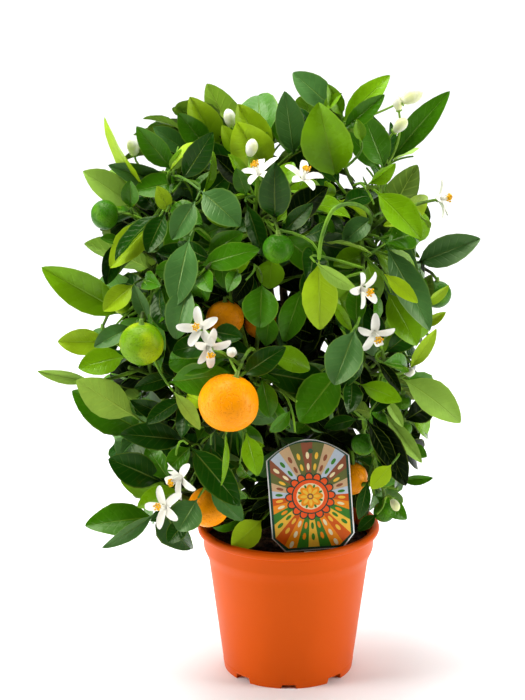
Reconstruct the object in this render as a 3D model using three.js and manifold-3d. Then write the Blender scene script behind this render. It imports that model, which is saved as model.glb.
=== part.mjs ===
// A calamondin orange tree in its nursery pot, as a scene graph of closed solids.
// Millimetres, +Z up. The origin is the middle of the pot's foot, on the ground, and -Y is the tree's front.
//
// The tree grows by one seeded rule. A short trunk carries boughs, and each bough ends at a mass of foliage.
// Every mass owns the part of the crown that lies nearer to its middle than to any other mass's, so no two touch.
// In it a stem carries on from the bough, twigs run from the stem to the crown's surface, and leaves stand on the
// twigs in a spiral. Fruits and open flowers hang at the ends of twigs of their own.
import * as THREE from "three";
import { mergeVertices } from "three/addons/utils/BufferGeometryUtils.js";
import Module from "manifold-3d";

const wasm = await Module();
wasm.setup();
const { Manifold, Mesh: SolidMesh } = wasm;

// ---- Driving dimensions, in millimetres ----

const GAP = 0.3; // left between neighbouring solids

const POT = {
  height: 117,
  rimRadius: 70,
  lipHeight: 6,
  collarRadius: 66,
  collarFoot: 98, // height of the collar's lower edge
  bodyRadius: 61.4,
  footRadius: 49.7,
  wall: 1.6,
  floor: 2.4,
  footWidth: 5.6, // of the ring that the pot stands on, with the disc in its middle
  discRadius: 22,
  archHeight: 4.6, // drainage gaps in the ring
  smallArch: 3.2,
};
const SOIL = { top: 105, edgeDip: 3 };

const LABEL = { width: 62, high: 78, thick: 0.9, foot: 117, x: 18.5, y: -44, corner: 9, crown: 11, tilt: 4.3 };
const SPIKE = { width: 16, deep: 34 };

const TRUNK = { foot: SOIL.top + GAP, under: 6, tip: 330, footRadius: 7.2, tipRadius: 2.4, flare: 4.4, flareHeight: 14 };
const TRUNK_BENDS = [
  [0, 4],
  [-5, 9],
  [-9, 3],
  [-3, -3],
  [-7, 2],
]; // sideways places of the trunk's line at even heights from foot to tip

const BOUGH = { rootRadius: 3.4, tipRadius: 2.3, share: 0.6, rise: 0.16 };
const STEM = { tipRadius: 1.5, beyond: 16 };
const TWIG = { rootRadius: 1.7, tipRadius: 1.1, arch: 0.14, leafGap: 8.5, bareShare: 0.2 };

const LEAF = { long: 62, spread: 0.22, slim: 0.5, petiole: 0.12, thick: 0.95, bend: 0.7, cup: 0.16, splay: 1.05 };
const LEAF_APART = 6.5; // least distance between places on two blades
const TWIG_APART = 5; // least distance from a new twig to a blade
const TRIES = 12;
const SHRINK = 0.04; // how much smaller a leaf gets at each new try

const CROWN = { middle: [-17, -2, 268], half: [126, 106, 176], round: 2.4, boxy: 4, waist: 205, narrowing: 0.24 };
const SHELLS = [
  { ends: 38, reach: 0.72, spread: 0.12 },
  { ends: 18, reach: 0.42, spread: 0.12 },
]; // where twigs end, as shares of the way from the crown's middle to its outline
const GOLDEN = Math.PI * (3 - Math.sqrt(5));

// Each mass: its middle, and the height at which its bough leaves the trunk.
const MASSES = {
  front_low_left: [-88, -48, 156, 130],
  front_low_right: [68, -46, 160, 137],
  front_mid_left: [-106, -46, 248, 176],
  front_middle: [-24, -64, 244, 184],
  front_mid_right: [68, -46, 252, 193],
  front_top_left: [-104, -30, 342, 243],
  front_top_middle: [-24, -42, 358, 262],
  front_top_right: [64, -34, 358, 272],
  back_low_left: [-82, 52, 184, 146],
  back_low_right: [54, 54, 190, 152],
  back_mid_left: [-88, 50, 288, 208],
  back_mid_right: [54, 52, 294, 214],
  back_top_left: [-72, 46, 384, 258],
  back_top_right: [34, 48, 390, 286],
};

// Fruits: middle and radius.
const FRUITS = [
  [-44, -118, 250, 21.5],
  [-106, -92, 286, 16],
  [-134, -40, 368, 10.8],
  [-9, -85, 354, 11],
  [-122, -60, 306, 6.5],
  [-47, -64, 297, 13.7],
  [-21, -48, 289, 12.3],
  [-60, -74, 156, 15.4],
  [46, -27, 162, 13.4],
  [54, -60, 200, 8.8],
  [71, -43, 141, 8.2],
  [84, -36, 225, 6.3],
  [85, -36, 204, 6.3],
  [-70, 94, 272, 17],
  [10, 88, 384, 12],
  [62, 88, 232, 16],
  [-22, 104, 304, 13],
  [30, 88, 164, 10],
  [-50, 84, 168, 14],
  [112, 22, 292, 11],
  [-142, 30, 252, 12],
];

// Open flowers: middle.
const FLOWERS = [
  [-64, -116, 304],
  [-57, -114, 289],
  [-81, -92, 185],
  [-92, -96, 164],
  [9, -66, 402],
  [111, -20, 375],
  [52, -92, 326],
  [60, -87, 291],
  [-23, -62, 405],
  [22, 98, 334],
  [-60, 90, 362],
  [72, 74, 300],
  [-92, 86, 222],
  [8, 104, 224],
];
const FLOWER = { radius: 14, notch: 5, thick: 2.4, room: 13 };

// Leaders: leaves that stand out of the crown on long shoots. Each is the place of its tip and the way that it
// points across the tree's front, in degrees from level to the right.
const LEADERS = [
  [-179, -60, 334, 149],
  [-170, -45, 274, 158],
  [-183, -70, 259, 172],
  [-160, -50, 238, 156],
  [-133, -70, 192, 168],
  [-151, -70, 140, 188],
  [-138, -82, 127, 208],
  [-125, -60, 172, 158],
  [-134, -25, 437, 114],
  [-150, -30, 398, 166],
  [-111, -25, 430, 130],
  [-73, -5, 448, 120],
  [-38, -12, 444, 108],
  [-4, -10, 453, 75],
  [2, 5, 464, 126],
  [20, -38, 450, 100],
  [73, 0, 463, 34],
  [68, -24, 453, 40],
  [116, -10, 453, 53],
  [141, -10, 343, 24],
  [118, -15, 309, 40],
  [109, -20, 277, 72],
  [127, -40, 210, -30],
  [108, -32, 164, 6],
  [88, -46, 136, -12],
  [-156, 44, 326, 160],
  [98, 60, 384, 62],
  [-62, 62, 446, 115],
  [36, 72, 440, 70],
  [-142, 54, 184, 200],
  [108, 62, 196, -20],
];

// ---- Vectors and chance ----

const vec = (x, y, z) => new THREE.Vector3(x, y, z);
const UP = vec(0, 0, 1);
const along = (from, to, t) => from.clone().lerp(to, t);

// Repeatable numbers from 0 to 1, so that the tree is the same each time.
function seeded(seed) {
  let state = seed >>> 0;
  return () => {
    state = (state + 0x6d2b79f5) >>> 0;
    let t = Math.imul(state ^ (state >>> 15), state | 1);
    t ^= t + Math.imul(t ^ (t >>> 7), t | 61);
    return ((t ^ (t >>> 14)) >>> 0) / 4294967296;
  };
}

const jitter = (chance, size) =>
  vec((chance() - 0.5) * size, (chance() - 0.5) * size, (chance() - 0.5) * size);

// The part of a vector that is square to a unit vector, as a unit vector.
const squared = (v, axis) => v.clone().addScaledVector(axis, -v.dot(axis)).normalize();

// ---- Solids ----

const MERGE = 1e-3; // vertices nearer than this are one

// A closed geometry as a manifold-3d solid.
function solid(geometry) {
  const bare = geometry.clone();
  bare.deleteAttribute("normal");
  bare.deleteAttribute("uv");
  const merged = mergeVertices(bare, MERGE);
  return new Manifold(
    new SolidMesh({
      numProp: 3,
      vertProperties: new Float32Array(merged.attributes.position.array),
      triVerts: new Uint32Array(merged.index.array),
    }),
  );
}

// A manifold-3d solid as a three.js geometry with flat faces.
function geometryOf(made) {
  const mesh = made.getMesh();
  const indexed = new THREE.BufferGeometry()
    .setAttribute("position", new THREE.BufferAttribute(new Float32Array(mesh.vertProperties), 3))
    .setIndex(new THREE.BufferAttribute(new Uint32Array(mesh.triVerts), 1));
  const geometry = indexed.toNonIndexed();
  geometry.computeVertexNormals();
  return geometry;
}

// The largest connected body of a solid once its nearest vertices are merged, so that no loose scrap is left.
function largest(made) {
  const bodies = solid(geometryOf(made)).decompose();
  return bodies.reduce((a, b) => (a.volume() >= b.volume() ? a : b));
}

// A tapering limb: a cylinder bent along a curve and closed at both ends. radiusAt(share, angle) gives its radius.
function limb(curve, radiusAt, sides, steps) {
  const geometry = new THREE.CylinderGeometry(1, 1, 1, sides, steps, true);
  const lastRow = steps * (sides + 1);
  const caps = [];
  for (let k = 1; k + 1 < sides; k++) caps.push(0, k, k + 1, lastRow, lastRow + k + 1, lastRow + k);
  geometry.setIndex([...geometry.index.array, ...caps]);
  const frames = curve.computeFrenetFrames(steps);
  const places = geometry.attributes.position;
  for (let i = 0; i < places.count; i++) {
    const share = 0.5 + places.getY(i);
    const ring = Math.round(share * steps);
    const angle = Math.atan2(places.getX(i), places.getZ(i));
    const radius = Math.hypot(places.getX(i), places.getZ(i)) * radiusAt(share, angle);
    const place = curve
      .getPoint(share)
      .addScaledVector(frames.normals[ring], radius * Math.cos(angle))
      .addScaledVector(frames.binormals[ring], radius * Math.sin(angle));
    places.setXYZ(i, place.x, place.y, place.z);
  }
  const made = solid(geometry);
  return made.volume() > 0 ? made : solid(turnedOut(geometry));
}

// The same geometry with every face turned round.
function turnedOut(geometry) {
  const index = geometry.index.array;
  for (let i = 0; i < index.length; i += 3) [index[i + 1], index[i + 2]] = [index[i + 2], index[i + 1]];
  return geometry;
}

// A sphere geometry of few faces whose equator and poles are moved to these points.
function cushion(rim, top, bottom) {
  const geometry = new THREE.SphereGeometry(1, rim.length, 2);
  const places = geometry.attributes.position;
  for (let i = 0; i < places.count; i++) {
    const angle = Math.atan2(places.getZ(i), -places.getX(i));
    const k = Math.round((angle / (2 * Math.PI)) * rim.length + rim.length) % rim.length;
    const height = places.getY(i);
    const place = Math.abs(height) < 0.5 ? rim[k] : height > 0 ? top : bottom;
    places.setXYZ(i, place.x, place.y, place.z);
  }
  const made = solid(geometry);
  return made.volume() > 0 ? made : solid(turnedOut(geometry));
}

// ---- The crown's space ----

const masses = Object.entries(MASSES).map(([name, [x, y, z, fork]]) => ({ name, middle: vec(x, y, z), fork }));

// How far a point lies inside a mass's own part of the crown.
function depthInside(point, mass) {
  let least = Infinity;
  for (const other of masses) {
    if (other === mass) continue;
    const nearer = point.distanceToSquared(other.middle) - point.distanceToSquared(mass.middle);
    least = Math.min(least, nearer / (2 * mass.middle.distanceTo(other.middle)));
  }
  return least;
}

const massAt = (point) =>
  masses.reduce((a, b) => (point.distanceToSquared(a.middle) <= point.distanceToSquared(b.middle) ? a : b));

const crownMiddle = vec(...CROWN.middle);

// How far out a point lies in the crown: 0 at its middle and 1 on its outline, which narrows below the waist.
function crownLevel(point) {
  const [a, b, c] = CROWN.half;
  const low = Math.max(0, (CROWN.waist - point.z) / 100);
  const narrow = 1 - CROWN.narrowing * low ** 1.5;
  const from = point.clone().sub(crownMiddle);
  const level = Math.abs(from.x / (a * narrow)) ** CROWN.round + Math.abs(from.y / (b * narrow)) ** CROWN.round;
  return level ** (CROWN.boxy / CROWN.round) + Math.abs(from.z / c) ** CROWN.boxy;
}

// The point of the crown's outline that lies in a direction from its middle.
function crownEdge(direction) {
  let near = 0;
  let far = 2 * CROWN.half[2];
  while (far - near > 0.5) {
    const middle = (near + far) / 2;
    if (crownLevel(direction.clone().multiplyScalar(middle).add(crownMiddle)) < 1) near = middle;
    else far = middle;
  }
  return direction.clone().multiplyScalar(near).add(crownMiddle);
}

// The level direction in which leaves at a place look: forwards in the tree's front half, backwards behind.
const FACING = { side: 0.004, depth: 36 };
function facing(place) {
  const from = place.clone().sub(crownMiddle);
  const ahead = THREE.MathUtils.clamp(from.y / FACING.depth, -1, 1);
  return vec(from.x * FACING.side, Math.abs(ahead) < 0.1 ? -0.1 : ahead, 0).normalize();
}

// Whether a point is clear of the pot, of the soil and of the space in front of the label.
const POT_ROOM = { radius: POT.rimRadius + 3, top: POT.height + 2.5, slope: 0.8 };
const LABEL_ROOM = { x: [LABEL.x - 37, LABEL.x + 37], front: -300, back: LABEL.y + 5, top: 203 };
function clearOfPot(point) {
  const radius = Math.hypot(point.x, point.y);
  const floor = POT_ROOM.top - Math.max(0, radius - POT_ROOM.radius) * POT_ROOM.slope;
  if (radius < POT_ROOM.radius + 25 && point.z < floor) return false;
  if (point.z < 84) return false;
  const [low, high] = LABEL_ROOM.x;
  const inLabelRoom = point.x > low && point.x < high && point.y < LABEL_ROOM.back && point.z < LABEL_ROOM.top;
  return !inLabelRoom;
}

// Balls that foliage keeps out of, each with the open way in front of it through which it is seen.
const balls = [
  ...FRUITS.map(([x, y, z, r]) => ({ middle: vec(x, y, z), radius: r, way: r * 0.85 })),
  ...FLOWERS.map(([x, y, z]) => ({ middle: vec(x, y, z), radius: FLOWER.room, way: FLOWER.room })),
].map((ball) => ({ ...ball, sight: vec(0, ball.middle.y < 0 ? -0.96 : 0.96, 0.28) }));

const BALL_ROOM = 1.2;
function clearOfBalls(point, own) {
  return balls.every((ball) => {
    if (ball === own) return true;
    const from = point.clone().sub(ball.middle);
    if (from.length() < ball.radius + BALL_ROOM) return false;
    const ahead = from.dot(ball.sight);
    return ahead < 0 || from.lengthSq() - ahead * ahead > ball.way * ball.way;
  });
}

// ---- Trunk and boughs ----

const TRUNK_START = TRUNK.foot - TRUNK.under; // cut off level at the foot

function trunkCurve() {
  const last = TRUNK_BENDS.length - 1;
  return new THREE.CatmullRomCurve3(
    TRUNK_BENDS.map(([x, y], i) => vec(x, y, TRUNK_START + ((TRUNK.tip - TRUNK_START) * i) / last)),
  );
}

// Three buttresses fade out above the foot.
function trunkRadius(share, angle, extra = 0) {
  const height = share * (TRUNK.tip - TRUNK_START) - TRUNK.under;
  const flare = Math.max(0, 1 - height / TRUNK.flareHeight) ** 2;
  const buttress = 0.75 + 0.25 * Math.cos(3 * angle);
  return TRUNK.footRadius + (TRUNK.tipRadius - TRUNK.footRadius) * share ** 0.8 + TRUNK.flare * flare * buttress + extra;
}

const trunkLine = trunkCurve();

// The trunk's line at a height. The curve's own share runs evenly enough with height to be searched.
function trunkAt(height) {
  let low = 0;
  let high = 1;
  for (let i = 0; i < 30; i++) {
    const middle = (low + high) / 2;
    if (trunkLine.getPoint(middle).z < height) low = middle;
    else high = middle;
  }
  return trunkLine.getPoint(low);
}

function boughCurve(mass) {
  const root = trunkAt(mass.fork);
  const reach = mass.middle.clone().sub(root);
  const tip = root.clone().addScaledVector(reach, BOUGH.share);
  const knee = along(root, tip, 0.5).addScaledVector(UP, -reach.length() * BOUGH.rise);
  return new THREE.QuadraticBezierCurve3(root, knee, tip);
}

// The stem starts a gap past the bough's tip and runs on through the mass's middle.
function stemCurve(mass) {
  const bough = mass.bough;
  const heading = bough.getTangent(1);
  const root = bough.getPoint(1).addScaledVector(heading, GAP);
  const tip = mass.middle.clone().addScaledVector(mass.middle.clone().sub(root).normalize(), STEM.beyond);
  const knee = root.clone().addScaledVector(heading, root.distanceTo(tip) * 0.4);
  return new THREE.QuadraticBezierCurve3(root, knee, tip);
}

const taper = (root, tip) => (share) => root + (tip - root) * share;

for (const mass of masses) {
  mass.bough = boughCurve(mass);
  mass.stem = stemCurve(mass);
}

// Places along the trunk and boughs that foliage keeps off.
const LIMB_STEPS = 12;
const woodPlaces = [];
for (let i = 0; i <= 4 * LIMB_STEPS; i++) {
  const share = i / (4 * LIMB_STEPS);
  woodPlaces.push({ middle: trunkLine.getPoint(share), radius: trunkRadius(share, 0) });
}
for (const mass of masses) {
  for (let i = 0; i <= LIMB_STEPS; i++) {
    const share = i / LIMB_STEPS;
    woodPlaces.push({ middle: mass.bough.getPoint(share), radius: taper(BOUGH.rootRadius, BOUGH.tipRadius)(share) });
  }
}
const WOOD_ROOM = 2.5;
const clearOfWood = (point) =>
  woodPlaces.every((place) => point.distanceToSquared(place.middle) > (place.radius + WOOD_ROOM) ** 2);

// ---- Twigs ----

// A twig bows upwards a little between its root on the stem and its end.
function twigCurve(root, end) {
  const knee = along(root, end, 0.5).addScaledVector(UP, root.distanceTo(end) * TWIG.arch);
  return new THREE.QuadraticBezierCurve3(root, knee, end);
}

// A twig leaves its mass's stem short of the place level with its end, and no two leave at one place.
function twigRoot(mass, end) {
  const from = mass.stem.getPoint(0);
  const way = mass.stem.getPoint(1).sub(from);
  const level = THREE.MathUtils.clamp(end.clone().sub(from).dot(way) / way.lengthSq(), 0, 1);
  const turn = (mass.twigs.length * GOLDEN) / (2 * Math.PI);
  return mass.stem.getPoint(0.15 + 0.62 * level + 0.18 * (turn % 1));
}

const taken = []; // places on the blades and twigs so far, a twig's with the twig

function crowded(points, apart, own) {
  return taken.some(({ place, twig }) => {
    if (twig && twig === own) return false;
    return points.some((point) => place.distanceToSquared(point) < apart * apart);
  });
}

const TWIG_CHECKS = 10;
const twigPlaces = (curve) => Array.from({ length: TWIG_CHECKS }, (_, i) => curve.getPoint((i + 1) / TWIG_CHECKS));

function twigFits(curve, mass) {
  const points = twigPlaces(curve);
  const outer = points.slice(TWIG_CHECKS * 0.4);
  return (
    points.every((point) => depthInside(point, mass) > 2.2 && clearOfPot(point)) &&
    outer.every((point) => clearOfWood(point) && clearOfBalls(point)) &&
    !crowded(outer, TWIG_APART)
  );
}

function addTwig(mass, curve, bearing, chance) {
  const twig = { mass, curve, bearing, chance, leaves: [] };
  mass.twigs.push(twig);
  taken.push(...twigPlaces(curve).map((place) => ({ place, twig })));
  return twig;
}

// ---- Leaves ----

// Half of a blade's width at a share of its length, as a share of its full half-width.
function bladeOutline(share) {
  const t = (share - LEAF.petiole) / (1 - LEAF.petiole);
  return t <= 0 || t >= 1 ? 0 : Math.sin(Math.PI * t ** 0.88) ** 0.85;
}

// A point of a leaf: share runs from root to tip, and side from -1 to 1 across. The blade bends down and its sides rise.
function leafPoint(leaf, share, side, lift = 0) {
  const turn = leaf.bend * share;
  const ahead = (leaf.long * Math.sin(turn)) / leaf.bend;
  const drop = (leaf.long * (1 - Math.cos(turn))) / leaf.bend;
  const wide = 0.5 * leaf.wide * side;
  return leaf.root
    .clone()
    .addScaledVector(leaf.heading, ahead)
    .addScaledVector(leaf.face, LEAF.cup * Math.abs(wide) * leaf.fold - drop + lift)
    .addScaledVector(leaf.across, wide);
}

// Places on a blade, as shares of its length and half-width, that are compared with other blades'.
const BLADE_PLACES = [
  [0.32, 0],
  [0.5, -0.85],
  [0.5, 0],
  [0.5, 0.85],
  [0.74, -0.7],
  [0.74, 0],
  [0.74, 0.7],
  [0.96, 0],
];
const bladePlaces = (leaf) => BLADE_PLACES.map(([share, side]) => leafPoint(leaf, share, side));

const LEAF_CHECKS = [0.2, 0.35, 0.5, 0.65, 0.8, 0.92];
function leafFits(leaf, twig) {
  const tip = leafPoint(leaf, 1, 0);
  if (crownLevel(tip) > 1 || crowded(bladePlaces(leaf), LEAF_APART, twig)) return false;
  const points = [tip];
  for (const share of LEAF_CHECKS) {
    const side = Math.max(bladeOutline(share), 0.2);
    for (const k of [-1.05, 0, 1.05]) points.push(leafPoint(leaf, share, k * side));
  }
  return points.every(
    (point) => clearOfPot(point) && depthInside(point, twig.mass) > 0.8 && clearOfWood(point) && clearOfBalls(point),
  );
}

// The side that a leaf at this place turns to the light.
function leafFace(place, heading, chance) {
  const light = facing(place).addScaledVector(UP, 0.45).add(jitter(chance, 1.1));
  return squared(light, heading);
}

// The way out of the crown, along its front or its back, that leaves lean to. It is nothing at the crown's middle.
const FAN = { strength: 0.8, droop: 0.22 };
function fan(place) {
  const from = place.clone().sub(crownMiddle);
  const [a, , c] = CROWN.half;
  return vec(from.x / a, 0, from.z / c - FAN.droop).multiplyScalar(FAN.strength);
}

function makeLeaf(root, heading, face, long, wide, chance) {
  const unit = heading.clone().normalize();
  const up = squared(face, unit);
  const bend = LEAF.bend * (0.5 + chance());
  return { root, heading: unit, face: up, across: unit.clone().cross(up), long, wide, bend, fold: 0.4 + 1.2 * chance() };
}

// A leaf at a share of its twig, turned anew and made smaller until it fits, or null.
function growLeaf(twig, share, turn, last) {
  const { curve, chance } = twig;
  const place = curve.getPoint(share);
  const tangent = curve.getTangent(share);
  const side = tangent.clone().cross(UP).normalize();
  const above = side.clone().cross(tangent);
  const long = LEAF.long * (1 - LEAF.spread + 2 * LEAF.spread * chance());
  const wide = long * LEAF.slim * (0.9 + 0.22 * chance());
  for (let attempt = 0; attempt < TRIES; attempt++) {
    const angle = turn + attempt * (chance() - 0.5);
    const splay = last && !attempt ? 0.25 * chance() : LEAF.splay * (0.7 + 0.6 * chance());
    const size = 1 - SHRINK * attempt;
    const spiral = tangent
      .clone()
      .multiplyScalar(Math.cos(splay))
      .addScaledVector(side, Math.sin(splay) * Math.cos(angle))
      .addScaledVector(above, Math.sin(splay) * Math.sin(angle));
    const heading = spiral.addScaledVector(facing(place), -0.6 * spiral.dot(facing(place))).add(fan(place)).normalize();
    const leaf = makeLeaf(place, heading, leafFace(place, heading, chance), long * size, wide * size, chance);
    if (leafFits(leaf, twig)) return leaf;
  }
  return null;
}

function addLeaf(twig, leaf) {
  twig.leaves.push(leaf);
  taken.push(...bladePlaces(leaf).map((place) => ({ place })));
}

// Leaves up a twig in a spiral, from its end back towards its root. A twig that bears something has none at its end.
function growLeaves(twig) {
  const length = twig.curve.getLength();
  const first = twig.chance() * 2 * Math.PI;
  for (let k = twig.bearing ? 1 : 0; ; k++) {
    const share = 1 - (k * TWIG.leafGap + 1) / length;
    if (share < TWIG.bareShare) break;
    const leaf = growLeaf(twig, share, first + k * GOLDEN, k === 0);
    if (leaf) addLeaf(twig, leaf);
  }
}

// ---- Growth ----

// A leader's last leaf reaches its tip, whatever else is there.
function growLeader([x, y, z, degrees], chance) {
  const tip = vec(x, y, z);
  const lean = THREE.MathUtils.degToRad(degrees);
  const heading = vec(Math.cos(lean), 0.15 * Math.sign(y), Math.sin(lean)).normalize();
  const long = LEAF.long * (0.95 + 0.2 * chance());
  const end = tip.clone().addScaledVector(heading, -long * 0.95);
  const mass = massAt(along(tip, end, 0.6));
  const twig = addTwig(mass, twigCurve(twigRoot(mass, end), end), true, chance);
  const leaf = makeLeaf(end, heading, leafFace(end, heading, chance), long, long * LEAF.slim, chance);
  leaf.bend = 0.35;
  addLeaf(twig, leaf);
}

// A twig that ends in a fruit or a flower.
function growBearing(ball, stalkEnd, chance) {
  const mass = massAt(ball.middle);
  addTwig(mass, twigCurve(twigRoot(mass, stalkEnd), stalkEnd), true, chance);
  mass.bears.push(ball);
}

// The ends of ordinary twigs, spread evenly over shells of the crown by the golden angle.
function twigEnds(chance) {
  return SHELLS.flatMap(({ ends, reach, spread }) =>
    Array.from({ length: ends }, (_, i) => {
      const z = 1 - (2 * (i + 0.5)) / ends;
      const level = Math.sqrt(1 - z * z);
      const direction = vec(level * Math.cos(i * GOLDEN), level * Math.sin(i * GOLDEN), z);
      return along(crownMiddle, crownEdge(direction), reach + spread * (2 * chance() - 1));
    }),
  );
}

const FRUIT_STALK = 0.96; // how far up the fruit its stalk goes in, as a share of its radius

function growTree() {
  for (const mass of masses) Object.assign(mass, { twigs: [], bears: [] });
  FRUITS.forEach(([, , , r], i) => {
    const end = balls[i].middle.clone().addScaledVector(UP, r * FRUIT_STALK);
    growBearing({ ...balls[i], kind: "fruit" }, end, seeded(700 + i));
  });
  FLOWERS.forEach((_, i) => {
    const ball = balls[FRUITS.length + i];
    growBearing({ ...ball, kind: "flower" }, ball.middle.clone(), seeded(800 + i));
  });
  LEADERS.forEach((leader, i) => growLeader(leader, seeded(100 + i)));
  twigEnds(seeded(7)).forEach((end, i) => {
    const mass = massAt(end);
    const curve = twigCurve(twigRoot(mass, end), end);
    if (twigFits(curve, mass)) addTwig(mass, curve, false, seeded(1000 + i));
  });
  for (const mass of masses) mass.twigs.forEach(growLeaves);
}

// ---- Solids of the tree ----

const OUTLINE_STATIONS = [
  [0.11, 0.05],
  [0.4, 0.98],
  [0.74, 0.86],
]; // share of the length, and of the half-width

// A leaf as sixteen faces: a narrow stalk sunk in the twig, a blade, and a ridge and keel along it.
function leafSolid(leaf) {
  const sides = OUTLINE_STATIONS.map(([share, side]) => leafPoint(leaf, share, side));
  const others = OUTLINE_STATIONS.map(([share, side]) => leafPoint(leaf, share, -side)).reverse();
  const rim = [leaf.root, ...sides, leafPoint(leaf, 1, 0), ...others];
  return cushion(rim, leafPoint(leaf, 0.36, 0, LEAF.thick / 2), leafPoint(leaf, 0.36, 0, -LEAF.thick / 2));
}

function fruitSolid(ball, extra = 0) {
  const large = ball.radius > 15;
  const round = large ? new THREE.IcosahedronGeometry(1, 1) : new THREE.SphereGeometry(1, 7, 4);
  const r = ball.radius + extra;
  round.scale(r, r, r).rotateX(large ? 0 : Math.PI / 2);
  return solid(round.translate(ball.middle.x, ball.middle.y, ball.middle.z));
}

// Five petals round a thick middle, facing along the open way.
function flowerSolid(ball) {
  const side = squared(vec(1, 0, 0), ball.sight);
  const above = side.clone().cross(ball.sight);
  const rim = [];
  for (let k = 0; k < 10; k++) {
    const reach = k % 2 ? FLOWER.notch : FLOWER.radius;
    const angle = (k * Math.PI) / 5 + ball.middle.x;
    rim.push(
      ball.middle
        .clone()
        .addScaledVector(side, reach * Math.cos(angle))
        .addScaledVector(above, reach * Math.sin(angle))
        .addScaledVector(ball.sight, k % 2 ? 0.5 : 2.5),
    );
  }
  const front = ball.middle.clone().addScaledVector(ball.sight, FLOWER.thick);
  const back = ball.middle.clone().addScaledVector(ball.sight, -FLOWER.thick);
  return cushion(rim, front, back);
}

const TWIG_SIDES = 3;
const TWIG_STEPS = 2;

function twigSolid(curve) {
  return limb(curve, taper(TWIG.rootRadius, TWIG.tipRadius), TWIG_SIDES, TWIG_STEPS);
}

// Everything in a mass fused into one body, cut clear of the wood, the pot, the label and other masses' fruits.
function massSolid(mass, hardParts) {
  const parts = [limb(mass.stem, taper(BOUGH.tipRadius, STEM.tipRadius), 5, 4)];
  for (const twig of mass.twigs) {
    if (!twig.bearing && !twig.leaves.length) continue;
    parts.push(twigSolid(twig.curve));
    for (const leaf of twig.leaves) parts.push(leafSolid(leaf));
  }
  for (const ball of mass.bears) parts.push(ball.kind === "fruit" ? fruitSolid(ball) : flowerSolid(ball));
  const fused = Manifold.union(parts);
  const others = masses.filter((m) => m !== mass).flatMap((m) => m.bears);
  const cutters = [...hardParts, ...others.map((ball) => fruitSolid(ball, 2 * GAP))];
  return largest(fused.subtract(Manifold.union(cutters)));
}

function trunkSolid(extra = 0) {
  const whole = limb(trunkLine, (share, angle) => trunkRadius(share, angle, extra), 9, 11);
  return whole.trimByPlane([0, 0, 1], TRUNK.foot - extra);
}

function boughSolid(mass, extra = 0) {
  return limb(mass.bough, taper(BOUGH.rootRadius + extra, BOUGH.tipRadius + extra), 6, 4);
}

// ---- Pot, soil and label ----

const POT_SIDES = 36;
const SOIL_SIDES = 24;

// A turned solid. Its profile is radii and heights from the axis and back to it.
function turned(points, sides) {
  const profile = points.map(([r, z]) => new THREE.Vector2(r, z));
  return solid(new THREE.LatheGeometry(profile, sides).rotateX(Math.PI / 2));
}

// The outer wall from the foot to the rolled lip, then down the inside to the floor. The underside's middle is flat.
function potProfile() {
  const { height, rimRadius, lipHeight, collarRadius, collarFoot, bodyRadius, footRadius, wall, floor } = POT;
  const { archHeight, discRadius, footWidth } = POT;
  return [
    [0, 0],
    [discRadius, 0],
    [discRadius + 2, archHeight],
    [footRadius - footWidth - 1.4, archHeight],
    [footRadius - footWidth, 0],
    [footRadius, 0],
    [bodyRadius, collarFoot - 8],
    [collarRadius - 1.2, collarFoot],
    [collarRadius, height - lipHeight],
    [rimRadius, height - lipHeight + 1],
    [rimRadius, height - 1.6],
    [rimRadius - 1.4, height],
    [collarRadius - wall, height],
    [collarRadius - wall, collarFoot + 2],
    [bodyRadius - wall, collarFoot - 9],
    [footRadius - wall + 1.4, archHeight + floor],
    [0, archHeight + floor],
    [0, 0],
  ];
}

// Drainage gaps in each quarter of the foot: the angle from the quarter's middle, the width and the height.
const ARCHES = [
  [0, 12, POT.smallArch],
  [Math.PI / 4, 15, POT.archHeight],
];

function footArches() {
  const cutters = [];
  for (let quarter = 0; quarter < 4; quarter++) {
    for (const [angle, width, high] of ARCHES) {
      const outline = new THREE.Shape([
        new THREE.Vector2(-width / 2 - 1, -1),
        new THREE.Vector2(width / 2 + 1, -1),
        new THREE.Vector2(width / 2 - 1, high),
        new THREE.Vector2(1 - width / 2, high),
      ]);
      const arch = new THREE.ExtrudeGeometry(outline, { depth: POT.footWidth + 6, bevelEnabled: false });
      arch.rotateX(Math.PI / 2).translate(0, 3 - POT.footRadius + POT.footWidth, 0);
      cutters.push(solid(arch.rotateZ((quarter * Math.PI) / 2 + angle)));
    }
  }
  return cutters;
}

function potSolid() {
  return turned(potProfile(), POT_SIDES).subtract(Manifold.union(footArches()));
}

// The soil fills the pot to a little under the lip, flat in the middle and dipping to the wall.
function soilSolid() {
  const { collarRadius, collarFoot, bodyRadius, footRadius, wall, floor, archHeight } = POT;
  const bottom = archHeight + floor + GAP;
  const inset = wall + 2 * GAP;
  const body = turned(
    [
      [0, bottom],
      [footRadius - inset, bottom],
      [bodyRadius - inset, collarFoot - 9],
      [collarRadius - inset, collarFoot + 1.8],
      [collarRadius - inset, SOIL.top - SOIL.edgeDip],
      [collarRadius - 14, SOIL.top],
      [0, SOIL.top],
      [0, bottom],
    ],
    SOIL_SIDES,
  );
  return body.subtract(spikeSolid(GAP, LABEL_PLACE));
}

// The label's outline in its own plane, from its foot up: cut lower corners, straight sides and an arched top.
function labelShape(extra) {
  const { width, high, corner, crown } = LABEL;
  const half = width / 2 + extra;
  const shape = new THREE.Shape();
  shape.moveTo(-SPIKE.width / 2 - extra, -corner);
  shape.lineTo(SPIKE.width / 2 + extra, -corner);
  shape.lineTo(half - corner, 3 - corner);
  shape.lineTo(half, corner * 0.6);
  shape.lineTo(half, high - crown);
  shape.quadraticCurveTo(half * 0.5, high + crown * 0.25, 0, high + crown * 0.35);
  shape.quadraticCurveTo(-half * 0.5, high + crown * 0.25, -half, high - crown);
  shape.lineTo(-half, corner * 0.6);
  shape.lineTo(corner - half, 3 - corner);
  shape.closePath();
  return shape;
}

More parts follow.
